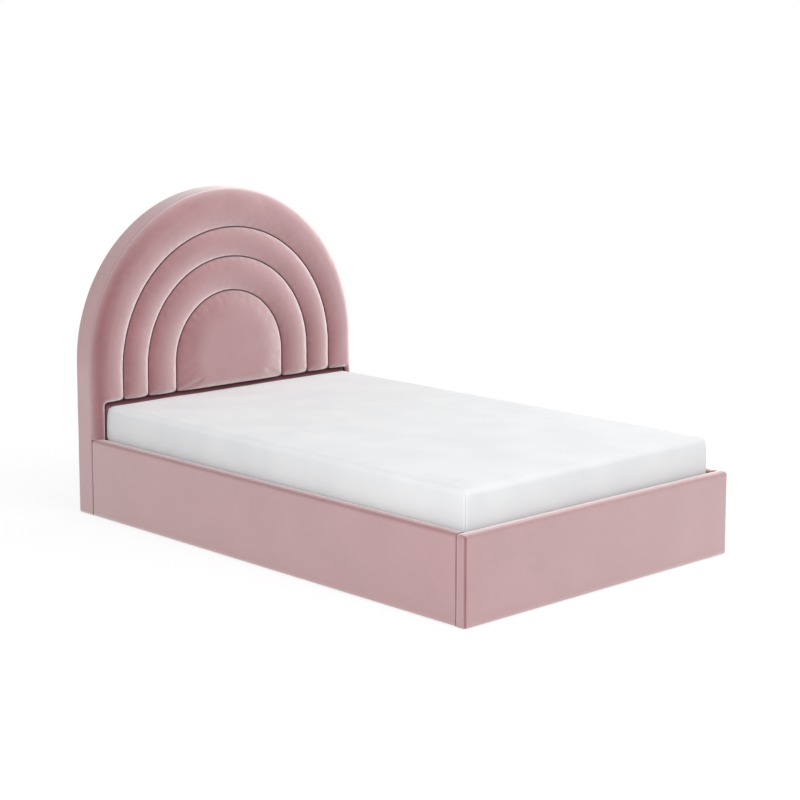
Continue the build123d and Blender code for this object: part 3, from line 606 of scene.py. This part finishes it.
# The outer channel: its inner edge goes under the puff's foot and down beside the mattress
leg_inner = rail_inner - leg_gap
leg_side = np.concatenate([
    np.array([[leg_inner, rail_top]]),
    arc((leg_inner - under_turn, cross_seam - under_turn), under_turn, 0.0, pi / 2, 8)])
channel_side = np.concatenate([
    arc((outer_seam_radius + puff_corner, cross_seam + puff_corner), puff_corner, -pi / 2, -pi, 10),
    arc((0.0, arch_middle), outer_seam_radius + seam_clearance, 0.0, pi / 2, 90)])
outer_edge, _ = arch_line(edge_drop, rail_top)
under_line = np.concatenate([leg_side, channel_side[:1]])
outer_edges = [(half_line(channel_side), channel_reach), (under_line, leg_reach),
               (under_line * mirrored, leg_reach)]
outer_channel = padded_between("outer_channel_pad", half_line(np.concatenate([leg_side, channel_side])),
                               outer_edge, outer_edges, crown_height, across=48, along=460,
                               seed=59, outer_edge=outer_edge)
dress(outer_channel, "headboard_outer_channel")
swelled.append(outer_channel)

# The headboard's border
band_fade = 0.02
band_crease = 0.003
back_crease = 0.004
crease_reach = 0.005
band_inset = 0.0003
band_wave = 0.0004
band_wave_length = 0.12


def border_piece():
    """The side band: a section with a crowned face and rolled rims, carried round the outline. Beside
    the rails its front rim is drawn in as a seam, and above them it turns by a square."""
    line, way = arch_line(0.0, floor_gap)
    depth = back_face - joint_face
    along = eased(26)
    beside_rail = 1.0 - roll(np.clip(line[:, 1] - rail_top, 0.0, 1.0), band_fade, 2.0, 1.0)
    seamed = band_crease * (1 - roll(along * depth, crease_reach))
    turned = edge_drop * np.clip(1 - along * depth / edge_turn, 0.0, 1.0) ** 2
    crease = beside_rail[:, None] * seamed + (1 - beside_rail)[:, None] * turned + band_inset
    crease += back_crease * (1 - roll((1 - along) * depth, crease_reach))
    section_in = np.concatenate([crease, np.full((len(line), 4), border_thickness)], 1)
    section_y = np.concatenate([joint_face + along * depth, np.linspace(back_face, joint_face, 4)])
    flat = line[:, None] - section_in[..., None] * way[:, None]
    y = np.broadcast_to(section_y, flat.shape[:2])
    spots = np.stack([flat[..., 0], flat[..., 1], y], -1).reshape(-1, 3)
    wave = soft_waves(spots, band_wave_length, seed=71).reshape(flat.shape[:2]) * band_wave
    wave[:, len(along):] = 0.0
    flat = flat + wave[..., None] * way[:, None]
    # Painted seam shade along the band's front rim beside the rails
    marks = np.zeros(flat.shape[:2])
    marks[:, 0] = beside_rail
    return ring_piece("headboard_side_band", upright(flat, y), marks)


border = border_piece()
# The painted sheen is taken off the band's arched part, most at its top
across, _, up = point_array(border.data).T
up = np.maximum(up - arch_middle, 0.0)
damp_painted_sheen(border, up / np.maximum(np.hypot(across, up), 1e-6))
dress(border, "headboard_border")

# The lower panel behind the mattress
panel_roll = 0.006
panel_swell = 0.001
panel_swell_reach = 0.08
panel_rim = 0.35
panel_wave = 0.0006
panel_wave_length = 0.11
panel_shade_reach = 0.024


def panel_piece():
    """A flat pad on the headboard. Its height is a share of its depth, plus a steep superellipse of the
    distance to its nearest edge, plus a low and wide one."""
    x = np.linspace(panel_low.x, panel_high.x, 90)
    z = np.linspace(panel_low.z, cross_seam - back_clearance, 24)
    flat = np.stack(np.meshgrid(x, z), -1)
    inward = np.minimum(flat - [x[0], z[0]], [x[-1], z[-1]] - flat).min(-1)
    depth = panel_high.y - panel_low.y
    height = depth * (panel_rim + (1 - panel_rim) * roll(inward, panel_roll))
    height += panel_swell * roll(inward, panel_swell_reach)
    wave = soft_waves(flat.reshape(-1, 2), panel_wave_length, seed=83).reshape(height.shape)
    height += panel_wave * wave
    layers = [upright(flat, panel_high.y - rise).reshape(-1, 3)
              for rise in (height, np.zeros_like(height))]
    rows, columns = height.shape
    count = rows * columns
    faces = grid_faces(rows, columns) + grid_faces(rows, columns, start=count)
    rim = np.concatenate([np.arange(columns), np.arange(2 * columns - 1, count, columns),
                          np.arange(count - 2, count - columns - 1, -1),
                          np.arange(count - 2 * columns, 0, -columns)])
    after = np.roll(rim, -1)
    faces += np.stack([rim, after, after + count, rim + count], -1).tolist()
    # Painted shade near the panel's edges, strongest at them, which darkens the recess between the puffs
    # and the mattress
    seam_shade = 0.95 * mark(inward, panel_shade_reach)
    return mesh_piece("lower_panel_pad", np.concatenate(layers), faces, seam_shade)


dress(panel_piece(), "headboard_lower_panel")

# The covers of the rails and the footboard: velvet over thin foam, folded round the boards
top_roll = 0.013
top_crown = 0.0012
hem_roll = 0.006
hem_lift = 0.002
end_roll = 0.006
lining_bottom = 0.23
cover_wave = 0.0007
rail_wave_length = 0.22
foot_wave_length = 0.24
cover_inset = 0.0003
face_depth = 0.006
wave_start = 0.02
sheen_damping_fade = 0.009


def cover_section(drawn, top_drawn, inner, lining, board):
    """A cover's section from the floor up its outside, round a quarter circle, over a top crowned by a
    half sine, and round the hem down to the lining's edge, then back round the board by the points
    given. Rows are (distance in from the outer face, height)."""
    top = rail_top - top_drawn
    up = np.stack([np.full(26, drawn), np.linspace(floor_gap + hem_lift, top - top_roll, 26)], -1)
    turn = arc((drawn + top_roll, top - top_roll), top_roll, pi, pi / 2, 9)[1:]
    across = np.linspace(drawn + top_roll, inner - hem_roll, 10)
    flat = np.stack([across, top + top_crown * np.sin(np.linspace(0.0, pi, 10))], -1)[1:-1]
    hem = arc((inner - hem_roll, top - hem_roll), hem_roll, pi / 2, 0.0, 6)
    down = [[inner, 0.5 * (top + lining)], [inner, lining]]
    return np.concatenate([up, turn, flat, hem, down, board, [[drawn + hem_lift, floor_gap]]])


def damp_top_sheen(piece, share):
    """Takes a share of the velvet's painted sheen off a cover's rolled top."""
    height = point_array(piece.data)[:, 2]
    damp_painted_sheen(piece, share * np.clip((height - rail_top + top_roll) / sheen_damping_fade, 0.0, 1.0))


def rail_piece(name, side):
    """The cover's section carried from the footboard to the headboard. Both ends roll in by a quarter
    circle, and the outside waves by less than a millimetre."""
    turn = np.linspace(0.0, pi / 2, 8)
    ends = end_roll * (1 - np.cos(turn))
    run = np.linspace(rail_low.y + 0.01, rail_high.y - 0.01, 120)
    y = np.concatenate([rail_low.y + ends, run, rail_high.y - ends[::-1]])
    inset = end_roll * (1 - np.sin(turn))
    inset = np.concatenate([inset, np.zeros(len(run)), inset[::-1]])
    inner, board_far, board_near = half_width - np.array([rail_inner, rail_board_low.x, board_outer])
    board = [[board_far, lining_bottom], [board_far, board_top], [board_near, board_top],
             [board_near, floor_gap]]
    sections = np.array([cover_section(drawn, drawn, inner, lining_bottom, board) for drawn in inset])
    x, z = half_width - sections[..., 0], sections[..., 1]
    spots = np.stack([x, np.broadcast_to(y[:, None], x.shape), z], -1)
    wave = soft_waves(spots.reshape(-1, 3), rail_wave_length, seed=91).reshape(x.shape)
    outward = (x > half_width - face_depth) & (z > wave_start)
    spots[..., 0] += np.where(outward, cover_wave * wave - cover_inset, 0.0)
    spots[..., 0] *= side
    # Painted shade towards both ends, where the cover meets the footboard and the headboard
    return ring_piece(name, spots, np.repeat((inset / end_roll) ** 0.7, x.shape[1]))


for place, side in {"left": -1.0, "right": 1.0}.items():
    rail = rail_piece(f"rail_cover_{place}", side)
    damp_top_sheen(rail, 1.0)
    dress(rail, f"side_rail_cover_{place}")

# Footboard
foot_corner = 0.008
corner_seam_width = 0.0014
corner_seam_depth = 0.0013
corner_seam_shade = 0.3
foot_sheen_damping = 0.45
joint_roll = 0.003
end_top_roll = 0.006
step_gap = 0.00002


def circle_fall(distance, radius):
    """How far a quarter circle of one radius has still to rise, at a distance from where it starts."""
    share = np.clip(distance / radius, 0.0, 1.0)
    return radius * (1 - np.sqrt(1 - (1 - share) ** 2))


def footboard_piece():
    """The section carried across the bed. Towards each side it draws in by a quarter circle, which
    rounds the two upright corners and the ends of the top. A seam is sunk along each upright corner.
    Past the board's end the section is solid, and between the rails the cloth ends at the lining."""
    turn = np.linspace(0.0, pi / 2, 13)
    corner = half_width - foot_corner * (1 - np.cos(turn))
    drawn_in = (foot_corner * (1 - np.sin(turn)), circle_fall(half_width - corner, end_top_roll),
                circle_fall(half_width - corner, joint_roll))
    solid = [*zip(corner, *drawn_in), (half_width - top_roll, 0.0, 0.0, 0.0),
             (board_outer + step_gap, 0.0, 0.0, 0.0)]
    inner = foot_high.y - foot_low.y
    board_near, board_far = foot_board_low.y - foot_low.y, foot_board_high.y - foot_low.y
    sections = []
    for _, drawn, top_drawn, joint in solid:
        end = inner - joint
        board = [[end, 0.2], [end, 0.1], [end, floor_gap], [board_near, floor_gap]]
        sections.append(cover_section(drawn, top_drawn, end, board_top, board))
    lined = np.linspace(rail_inner, 0.0, 50)
    linings = [board_top, board_top] + [lining_bottom] * len(lined)
    for lining in linings:
        board = [[board_far, lining], [board_far, board_top], [board_near, board_top],
                 [board_near, floor_gap]]
        sections.append(cover_section(0.0, 0.0, inner, lining, board))
    sections = np.array(sections + sections[-2::-1])
    x = np.concatenate([[row[0] for row in solid], [board_outer, rail_inner + step_gap], lined])
    x = np.broadcast_to(np.concatenate([x, -x[-2::-1]])[:, None], sections.shape[:2])
    spots = np.stack([x, foot_low.y + sections[..., 0], sections[..., 1]], -1).reshape(-1, 3)
    outward = (spots[:, 1] < foot_low.y + face_depth) & (spots[:, 2] > wave_start)
    wave = soft_waves(spots, foot_wave_length, seed=101)
    spots[:, 1] += np.where(outward, cover_wave * wave + cover_inset, 0.0)
    diagonal = (1 - 0.5**0.5) * foot_corner
    away = np.hypot(np.abs(spots[:, 0]) - (half_width - diagonal), spots[:, 1] - (foot_low.y + diagonal))
    sunk = np.where(spots[:, 2] < rail_top - top_roll * 0.6, mark(away, corner_seam_width), 0.0)
    spots[:, 0] -= np.sign(spots[:, 0]) * sunk * corner_seam_depth / 2**0.5
    spots[:, 1] += sunk * corner_seam_depth / 2**0.5
    # Painted seam shade in the sunk seam along each upright corner
    return ring_piece("footboard_pad", spots.reshape(*sections.shape[:2], 3), corner_seam_shade * sunk)


footboard = footboard_piece()
damp_top_sheen(footboard, foot_sheen_damping)
dress(footboard, "footboard_cover")

# Mattress
mattress_edge = 0.022
mattress_corner = 0.011
mattress_swell = 0.004
mattress_crown = 0.005
mattress_wave = 0.0008
mattress_wave_length = 0.28
mattress_lift = 0.0002
mattress_level = mattress_high.z - mattress_crown
seam_pull = 0.0014
seam_pull_reach = 0.003
seam_shade_share = 0.45
seam_shade_reach = 0.0019
seam_low = 0.004
notch_depth = 0.0026
notch_reach = 0.008
notch_height = 0.006
seam_over_notch = 0.012
head_bulge = 0.012
head_bulge_reach = 0.3
stop_clearance = 0.003
stop_fade = 0.02


def mattress_piece():
    """Rounded rectangles stacked up the side and drawn in over both faces to the middle. The edges are
    quarter circles, the sides swell by a half sine, and the top is crowned by a product of powers. At
    each upright corner a seam pulls the cloth in, most where it ends below the top edge."""
    low, high = mattress_low.z + mattress_lift, mattress_level
    half = np.array([mattress_high.x - mattress_swell,
                     0.5 * (mattress_high.y - mattress_low.y) - mattress_swell])
    corners = [arc((sx * (half[0] - mattress_corner), sy * (half[1] - mattress_corner)), mattress_corner,
                   start, start + pi / 2, 13)
               for start, sx, sy in ((0.0, 1, 1), (pi / 2, -1, 1), (pi, -1, -1), (1.5 * pi, 1, -1))]
    loop = []
    for quarter, after in zip(corners, corners[1:] + corners[:1]):
        loop += [quarter, even_steps(np.stack([quarter[-1], after[0]]), 91)[1:-1]]
    loop = np.concatenate(loop)
    turn = np.linspace(0.0, pi / 2, 10)
    slow, fast = mattress_edge * (1 - np.cos(turn)), mattress_edge * (1 - np.sin(turn))
    side = np.linspace(low + mattress_edge, high - mattress_edge, 24)[1:-1]
    face = np.linspace(1.0, 0.0, 30)[1:-1] ** 0.8
    flat_face = np.full(len(face), mattress_edge)
    whole = np.ones(2 * len(turn) + len(side))
    share = np.concatenate([face[::-1], whole, face])
    inset = np.concatenate([flat_face, fast, np.zeros(len(side)), slow, flat_face])
    height = np.concatenate([np.full(len(face), low), low + slow, side, high - fast,
                             np.full(len(face), high)])
    shrink = share[:, None] * (half - inset[:, None]) / half
    up = np.clip((height - low) / (high - low), 0.0, 1.0)
    swell = mattress_swell * np.sin(pi * up)[:, None, None]
    flat = loop[None] * shrink[:, None] * (1 + swell / half)
    away = np.abs(flat) / half
    crown = mattress_crown * (1 - away[..., 0] ** 5) * (1 - away[..., 1] ** 14)
    wave = soft_waves(flat.reshape(-1, 2), mattress_wave_length, seed=117).reshape(crown.shape)
    top = height[:, None] > high - 0.0001
    level = height[:, None] + np.where(top, crown + mattress_wave * wave, 0.0)
    corner = half + swell - 0.3 * mattress_corner
    reach = np.linalg.norm(np.abs(flat) - corner, axis=-1)
    notch_level = high - 0.9 * mattress_edge
    notch = mark(height - notch_level, notch_height)[:, None] * mark(reach, notch_reach)
    seamed = ((height > low + seam_low) & (height < notch_level + seam_over_notch))[:, None]
    inward = np.where(seamed, seam_pull * mark(reach, seam_pull_reach) + notch_depth * notch, 0.0)
    flat = flat - inward[..., None] * np.sign(flat) / 2**0.5
    stop_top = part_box("mattress_stops")[1].z + stop_clearance
    above_stops = np.clip((height - stop_top) / stop_fade, 0.0, 1.0)[:, None]
    towards_head = np.clip((flat[..., 1] - half[1]) / head_bulge_reach + 1, 0.0, 1.0)
    flat[..., 1] += head_bulge * above_stops * (2 - above_stops) * towards_head**2
    flat[..., 1] += 0.5 * (mattress_high.y + mattress_low.y)
    # Painted seam shade along the seam at each upright corner
    marks = np.where(seamed, seam_shade_share * mark(reach, seam_shade_reach), 0.0)
    return ring_piece("mattress_body", np.stack([flat[..., 0], flat[..., 1], level], -1), marks)


dress(mattress_piece(), "mattress", "mattress_cloth", "platform")

# Back cloth
back_low, back_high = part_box("headboard_back_panel")
back_gap = 0.0006
back_lift = 0.001
back_centre_drop = 0.05
back_depth = 0.0027
back_thickness = 0.0011
back_strain = 0.0012
edge_hold = 0.03
timber_hold = 0.035
back_wave = 0.0003
back_wave_length = 0.2
back_hem = 0.014
hem_fold = 0.0015
hem_rise = 0.0009
stitch_sink = 0.0007
stitch_width = 0.0012
frame_nodes = ["headboard_post_left", "headboard_post_right", "headboard_lower_batten",
               "headboard_middle_batten", "headboard_upper_batten", "headboard_centre_stud"]

# Its cut edge, inside the border: the headboard's line moved in, closed below
cut, _ = arch_line(border_thickness + back_gap, back_low.z + back_lift)
cut = np.concatenate([cut, even_steps(np.stack([cut[-1], cut[0]]), 60)[1:-1]])


def back_cloth_piece():
    """The cloth in closed lines that shrink to its middle. It lies a little further out where a timber
    stands behind it, is doubled in a hem along its edge and has a stitch line sunk in the hem."""
    loop = even_steps(cut, 420, closed=True)
    middle = np.array([0.0, 0.5 * (loop[:, 1].max() + loop[:, 1].min()) - back_centre_drop])
    near = 1.0 - np.linspace(0.0, 0.07, 22)
    shrink = np.concatenate([near, np.linspace(near[-1], 0.0, 40)[1:]])
    flat = middle + shrink[:, None, None] * (loop - middle)[None]
    places = flat.reshape(-1, 2)
    inward = edge_distance(places, np.concatenate([loop, loop[:1]]))
    held = mark(inward, edge_hold)
    for node in frame_nodes:
        low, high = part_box(node)
        beyond = np.maximum(np.maximum([low.x, low.z] - places, places - [high.x, high.z]), 0.0)
        held = np.maximum(held, mark(np.linalg.norm(beyond, axis=1), timber_hold))
    level = back_high.y - back_depth + back_strain * held
    level += back_wave * soft_waves(places, back_wave_length, seed=131)
    hem = 1.0 - roll(np.clip(inward - back_hem + hem_fold, 0.0, 1.0), hem_fold, 2.0, 1.0)
    sink = stitch_sink * mark(inward - 0.75 * back_hem, stitch_width)
    outside = upright(flat, level + hem * (hem_rise - sink))
    inside = upright(flat, level - back_thickness)
    return ring_piece("headboard_back_cloth", np.concatenate([outside[-2::-1], inside[:-1]]))


back_cloth = back_cloth_piece()
dress(back_cloth, "headboard_back_panel", "back_cloth")

# Lift strap
strap_low, strap_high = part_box("lift_strap")
strap_sheet = 0.0014
strap_gap = 0.0001
strap_trim = 0.0002
strap_bulge = 0.0014
strap_lean = 0.0008
strap_sewn = 0.04
strap_loose = 0.03
strap_rim = 0.0012
thread_width = 0.0009
stitch_box = np.array([[-0.013, 0.006], [0.013, 0.006], [0.013, 0.03], [-0.013, 0.03], [-0.013, 0.006],
                       [0.013, 0.03], [0.013, 0.006], [-0.013, 0.03]])


def strap_piece():
    """A flat webbing carried down the foot tube, round a loose fold and up again over itself. It is
    thinner at its two edges, and its stitched box is sunk where the two layers are sewn together."""
    tube_side = strap_high.y - strap_sheet / 2 - strap_gap
    outer_side = strap_low.y + strap_sheet / 2 + strap_gap
    fold = (tube_side - outer_side) / 2 + strap_bulge
    fold_middle = (0.5 * (tube_side + outer_side) - strap_lean, strap_low.z + fold + strap_sheet / 2)
    top, loose = strap_high.z - strap_trim, fold_middle[1] + strap_loose
    sewn_end = strap_high.z - strap_sewn
    path = even_steps(np.concatenate([
        [[tube_side, top], [tube_side, sewn_end], [tube_side - strap_trim, loose]],
        arc(fold_middle, fold, 0.0, -pi, 16),
        [[outer_side - strap_bulge, loose], [outer_side, sewn_end], [outer_side, top]]]), 150)
    along = np.gradient(path, axis=0)
    along /= np.linalg.norm(along, axis=1)[:, None]
    side_way = np.stack([along[:, 1], -along[:, 0]], -1)
    half = (strap_high.x - strap_low.x) / 2
    across = half * (2 * eased(30) - 1)
    x = np.concatenate([across, -across])
    rim = np.clip((half - np.abs(x)) / strap_rim, 0.0, 1.0)
    offset = strap_sheet / 2 * np.sqrt(1 - (1 - rim) ** 2) * (1 + 0.06 * np.cos(x * 3000))
    offset[len(across):] *= -1.0
    run = strap_high.z - path[:, 1]
    spots = np.stack(np.broadcast_arrays(x[None], run[:, None]), -1).reshape(-1, 2)
    sewn = mark(edge_distance(spots, stitch_box), thread_width).reshape(len(path), len(x))
    sewn *= (run < strap_sewn)[:, None]
    places = path[:, None] + (offset * (1 - 0.35 * sewn))[..., None] * side_way[:, None]
    x = np.broadcast_to(x, sewn.shape)
    return ring_piece("lift_strap_webbing", np.stack([x, places[..., 0], places[..., 1]], -1))


strap = strap_piece()
dress(strap, "lift_strap", "webbing", "platform")

# Swelling the headboard's pads with Cloth
swell_cap = 0.004
swell_ways = (0.25, 1.0, 0.25)
held_height = 0.012
last_frame = 20
cloth_settings = {
    "quality": 4,
    "mass": 0.35,
    "tension_stiffness": 12.0,
    "compression_stiffness": 12.0,
    "bending_stiffness": 3.0,
    "use_pressure": True,
    "uniform_pressure_force": 3.5,
    "vertex_group_mass": "held",
}


def evened(piece, moved, rounds=10):
    """A movement of a piece's points, evened out by moving each value halfway to its neighbours' mean."""
    ends = np.zeros(len(piece.data.edges) * 2, int)
    piece.data.edges.foreach_get("vertices", ends)
    first, second = ends.reshape(-1, 2).T
    count = np.bincount(ends, minlength=len(moved))[:, None]
    for _ in range(rounds):
        total = np.zeros_like(moved)
        np.add.at(total, first, moved[second])
        np.add.at(total, second, moved[first])
        moved = 0.5 * moved + 0.5 * total / count
    return moved


def swell_pads(pads):
    """Runs Cloth once on all pads together: pressure inside, no gravity, held near the board. The
    movement that it finds is evened, capped and put into the mesh, so no Cloth stays."""
    scene = bpy.context.scene
    runs = []
    for piece in pads:
        before = point_array(piece.data)
        held = np.clip(1.0 - (joint_face - before[:, 1] - seam_floor) / held_height, 0.0, 1.0)
        group = piece.vertex_groups.new(name="held")
        for level in range(1, 11):
            group.add(np.flatnonzero(np.round(held * 10) == level).tolist(), level / 10, "REPLACE")
        cloth = piece.modifiers.new("cloth", "CLOTH")
        for key, value in cloth_settings.items():
            setattr(cloth.settings, key, value)
        cloth.settings.effector_weights.gravity = 0.0
        cloth.collision_settings.use_collision = False
        cloth.collision_settings.use_self_collision = False
        cloth.point_cache.frame_end = last_frame
        runs.append((piece, before, held, group, cloth))
    for frame_number in range(1, last_frame + 1):
        scene.frame_set(frame_number)
    graph = bpy.context.evaluated_depsgraph_get()
    for piece, before, held, group, cloth in runs:
        moved = point_array(piece.evaluated_get(graph).data) - before
        moved = evened(piece, moved * swell_ways) * np.clip(2 - 2 * held, 0.0, 1.0)[:, None]
        reach = np.linalg.norm(moved, axis=1)
        moved *= (swell_cap * np.tanh(reach / swell_cap) / np.maximum(reach, 1e-9))[:, None]
        piece.modifiers.remove(cloth)
        piece.vertex_groups.remove(group)
        piece.data.vertices.foreach_set("co", (before + moved).ravel())
        piece.data.update()
    scene.frame_set(1)


swell_pads(swelled)

# Camera
camera_data = bpy.data.cameras.new("camera")
camera_data.lens = 87.24
camera_data.sensor_width = 36.0
camera_data.shift_y = -0.1
camera_data.clip_end = 100.0
camera = bpy.data.objects.new("camera", camera_data)
camera.location = (-4.7261, -5.0642, 1.7841)
camera.rotation_euler = Euler((radians(90 - 8.205), 0.0, radians(-43.358)))
bpy.context.scene.collection.objects.link(camera)
bpy.context.scene.camera = camera


# Floor, world and lamps
def seen_rays(made):
    """1 for what the camera sees, in a mirror or through glass too, and 0 for what lights the bed."""
    seen = made.node("LightPath", output="Is Camera Ray")
    for kind in ("Is Glossy Ray", "Is Transmission Ray"):
        seen = seen.maths("MAXIMUM", seen, made.node("LightPath", output=kind))
    return seen


def floor_piece():
    """A wide pale floor. What the camera sees of it is white, with the bed's shadow still on it near the
    bed, and it lights the bed as plain pale paper does."""
    half = 40.0
    mesh = bpy.data.meshes.new("floor")
    mesh.from_pydata([(-half, -half, 0.0), (half, -half, 0.0), (half, half, 0.0), (-half, half, 0.0)], [],
                     [(0, 1, 2, 3)])
    floor = bpy.data.objects.new("floor", mesh)
    bpy.context.scene.collection.objects.link(floor)
    made = Finish(bpy.data.materials.new("floor"))
    paper = made.node("BsdfDiffuse", {}, {"Color": (0.8, 0.8, 0.8)})
    far = made.node("VectorMath", {"operation": "LENGTH"}, {"Vector": made.place}, "Value")
    away = far.between(1.6, 3.4)
    glow = made.node("Emission", {}, {"Color": (1.0, 1.0, 1.0), "Strength": away * 0.22 + 0.78})
    ink = made.mixed(away, (0.24, 0.24, 0.24), (0.0, 0.0, 0.0))
    shadowed = made.node("BsdfDiffuse", {}, {"Color": ink})
    seen_floor = made.node("AddShader", {}, {0: glow, 1: shadowed})
    made.show(made.node("MixShader", {}, {0: seen_rays(made), 1: paper, 2: seen_floor}))
    floor.data.materials.append(made.owner)


floor_piece()

# The world lights the bed a little less than it shows
made = Finish(bpy.data.worlds.new("world"))
lit, seen = [made.node("Background", {}, {"Color": (1.0, 1.0, 1.0), "Strength": strength})
             for strength in (0.58, 1.0)]
made.show(made.node("MixShader", {}, {0: seen_rays(made), 1: lit, 2: seen}))
bpy.context.scene.world = made.owner


def lamp(name, place, aim, size, power):
    """A square soft lamp at a place, turned to its aim."""
    light = bpy.data.lights.new(name, "AREA")
    light.shape = "SQUARE"
    light.size = size
    light.energy = power
    holder = bpy.data.objects.new(name, light)
    away = np.array(place) - np.array(aim)
    holder.location = place
    holder.rotation_euler = Euler((atan2(hypot(away[0], away[1]), away[2]), 0.0, atan2(away[0], -away[1])))
    bpy.context.scene.collection.objects.link(holder)


lamp("key", (4.2, -3.0, 3.4), (0.0, 0.2, 0.5), 2.4, 105.0)
lamp("fill", (-4.6, -3.6, 2.2), (0.0, 0.0, 0.4), 3.0, 190.0)
lamp("overhead", (0.4, -0.9, 4.8), (0.0, 0.2, 0.5), 3.0, 52.0)
lamp("rim", (4.4, 1.3, 1.4), (0.3, 0.9, 0.8), 1.8, 80.0)

bpy.context.scene.view_settings.view_transform = "Standard"
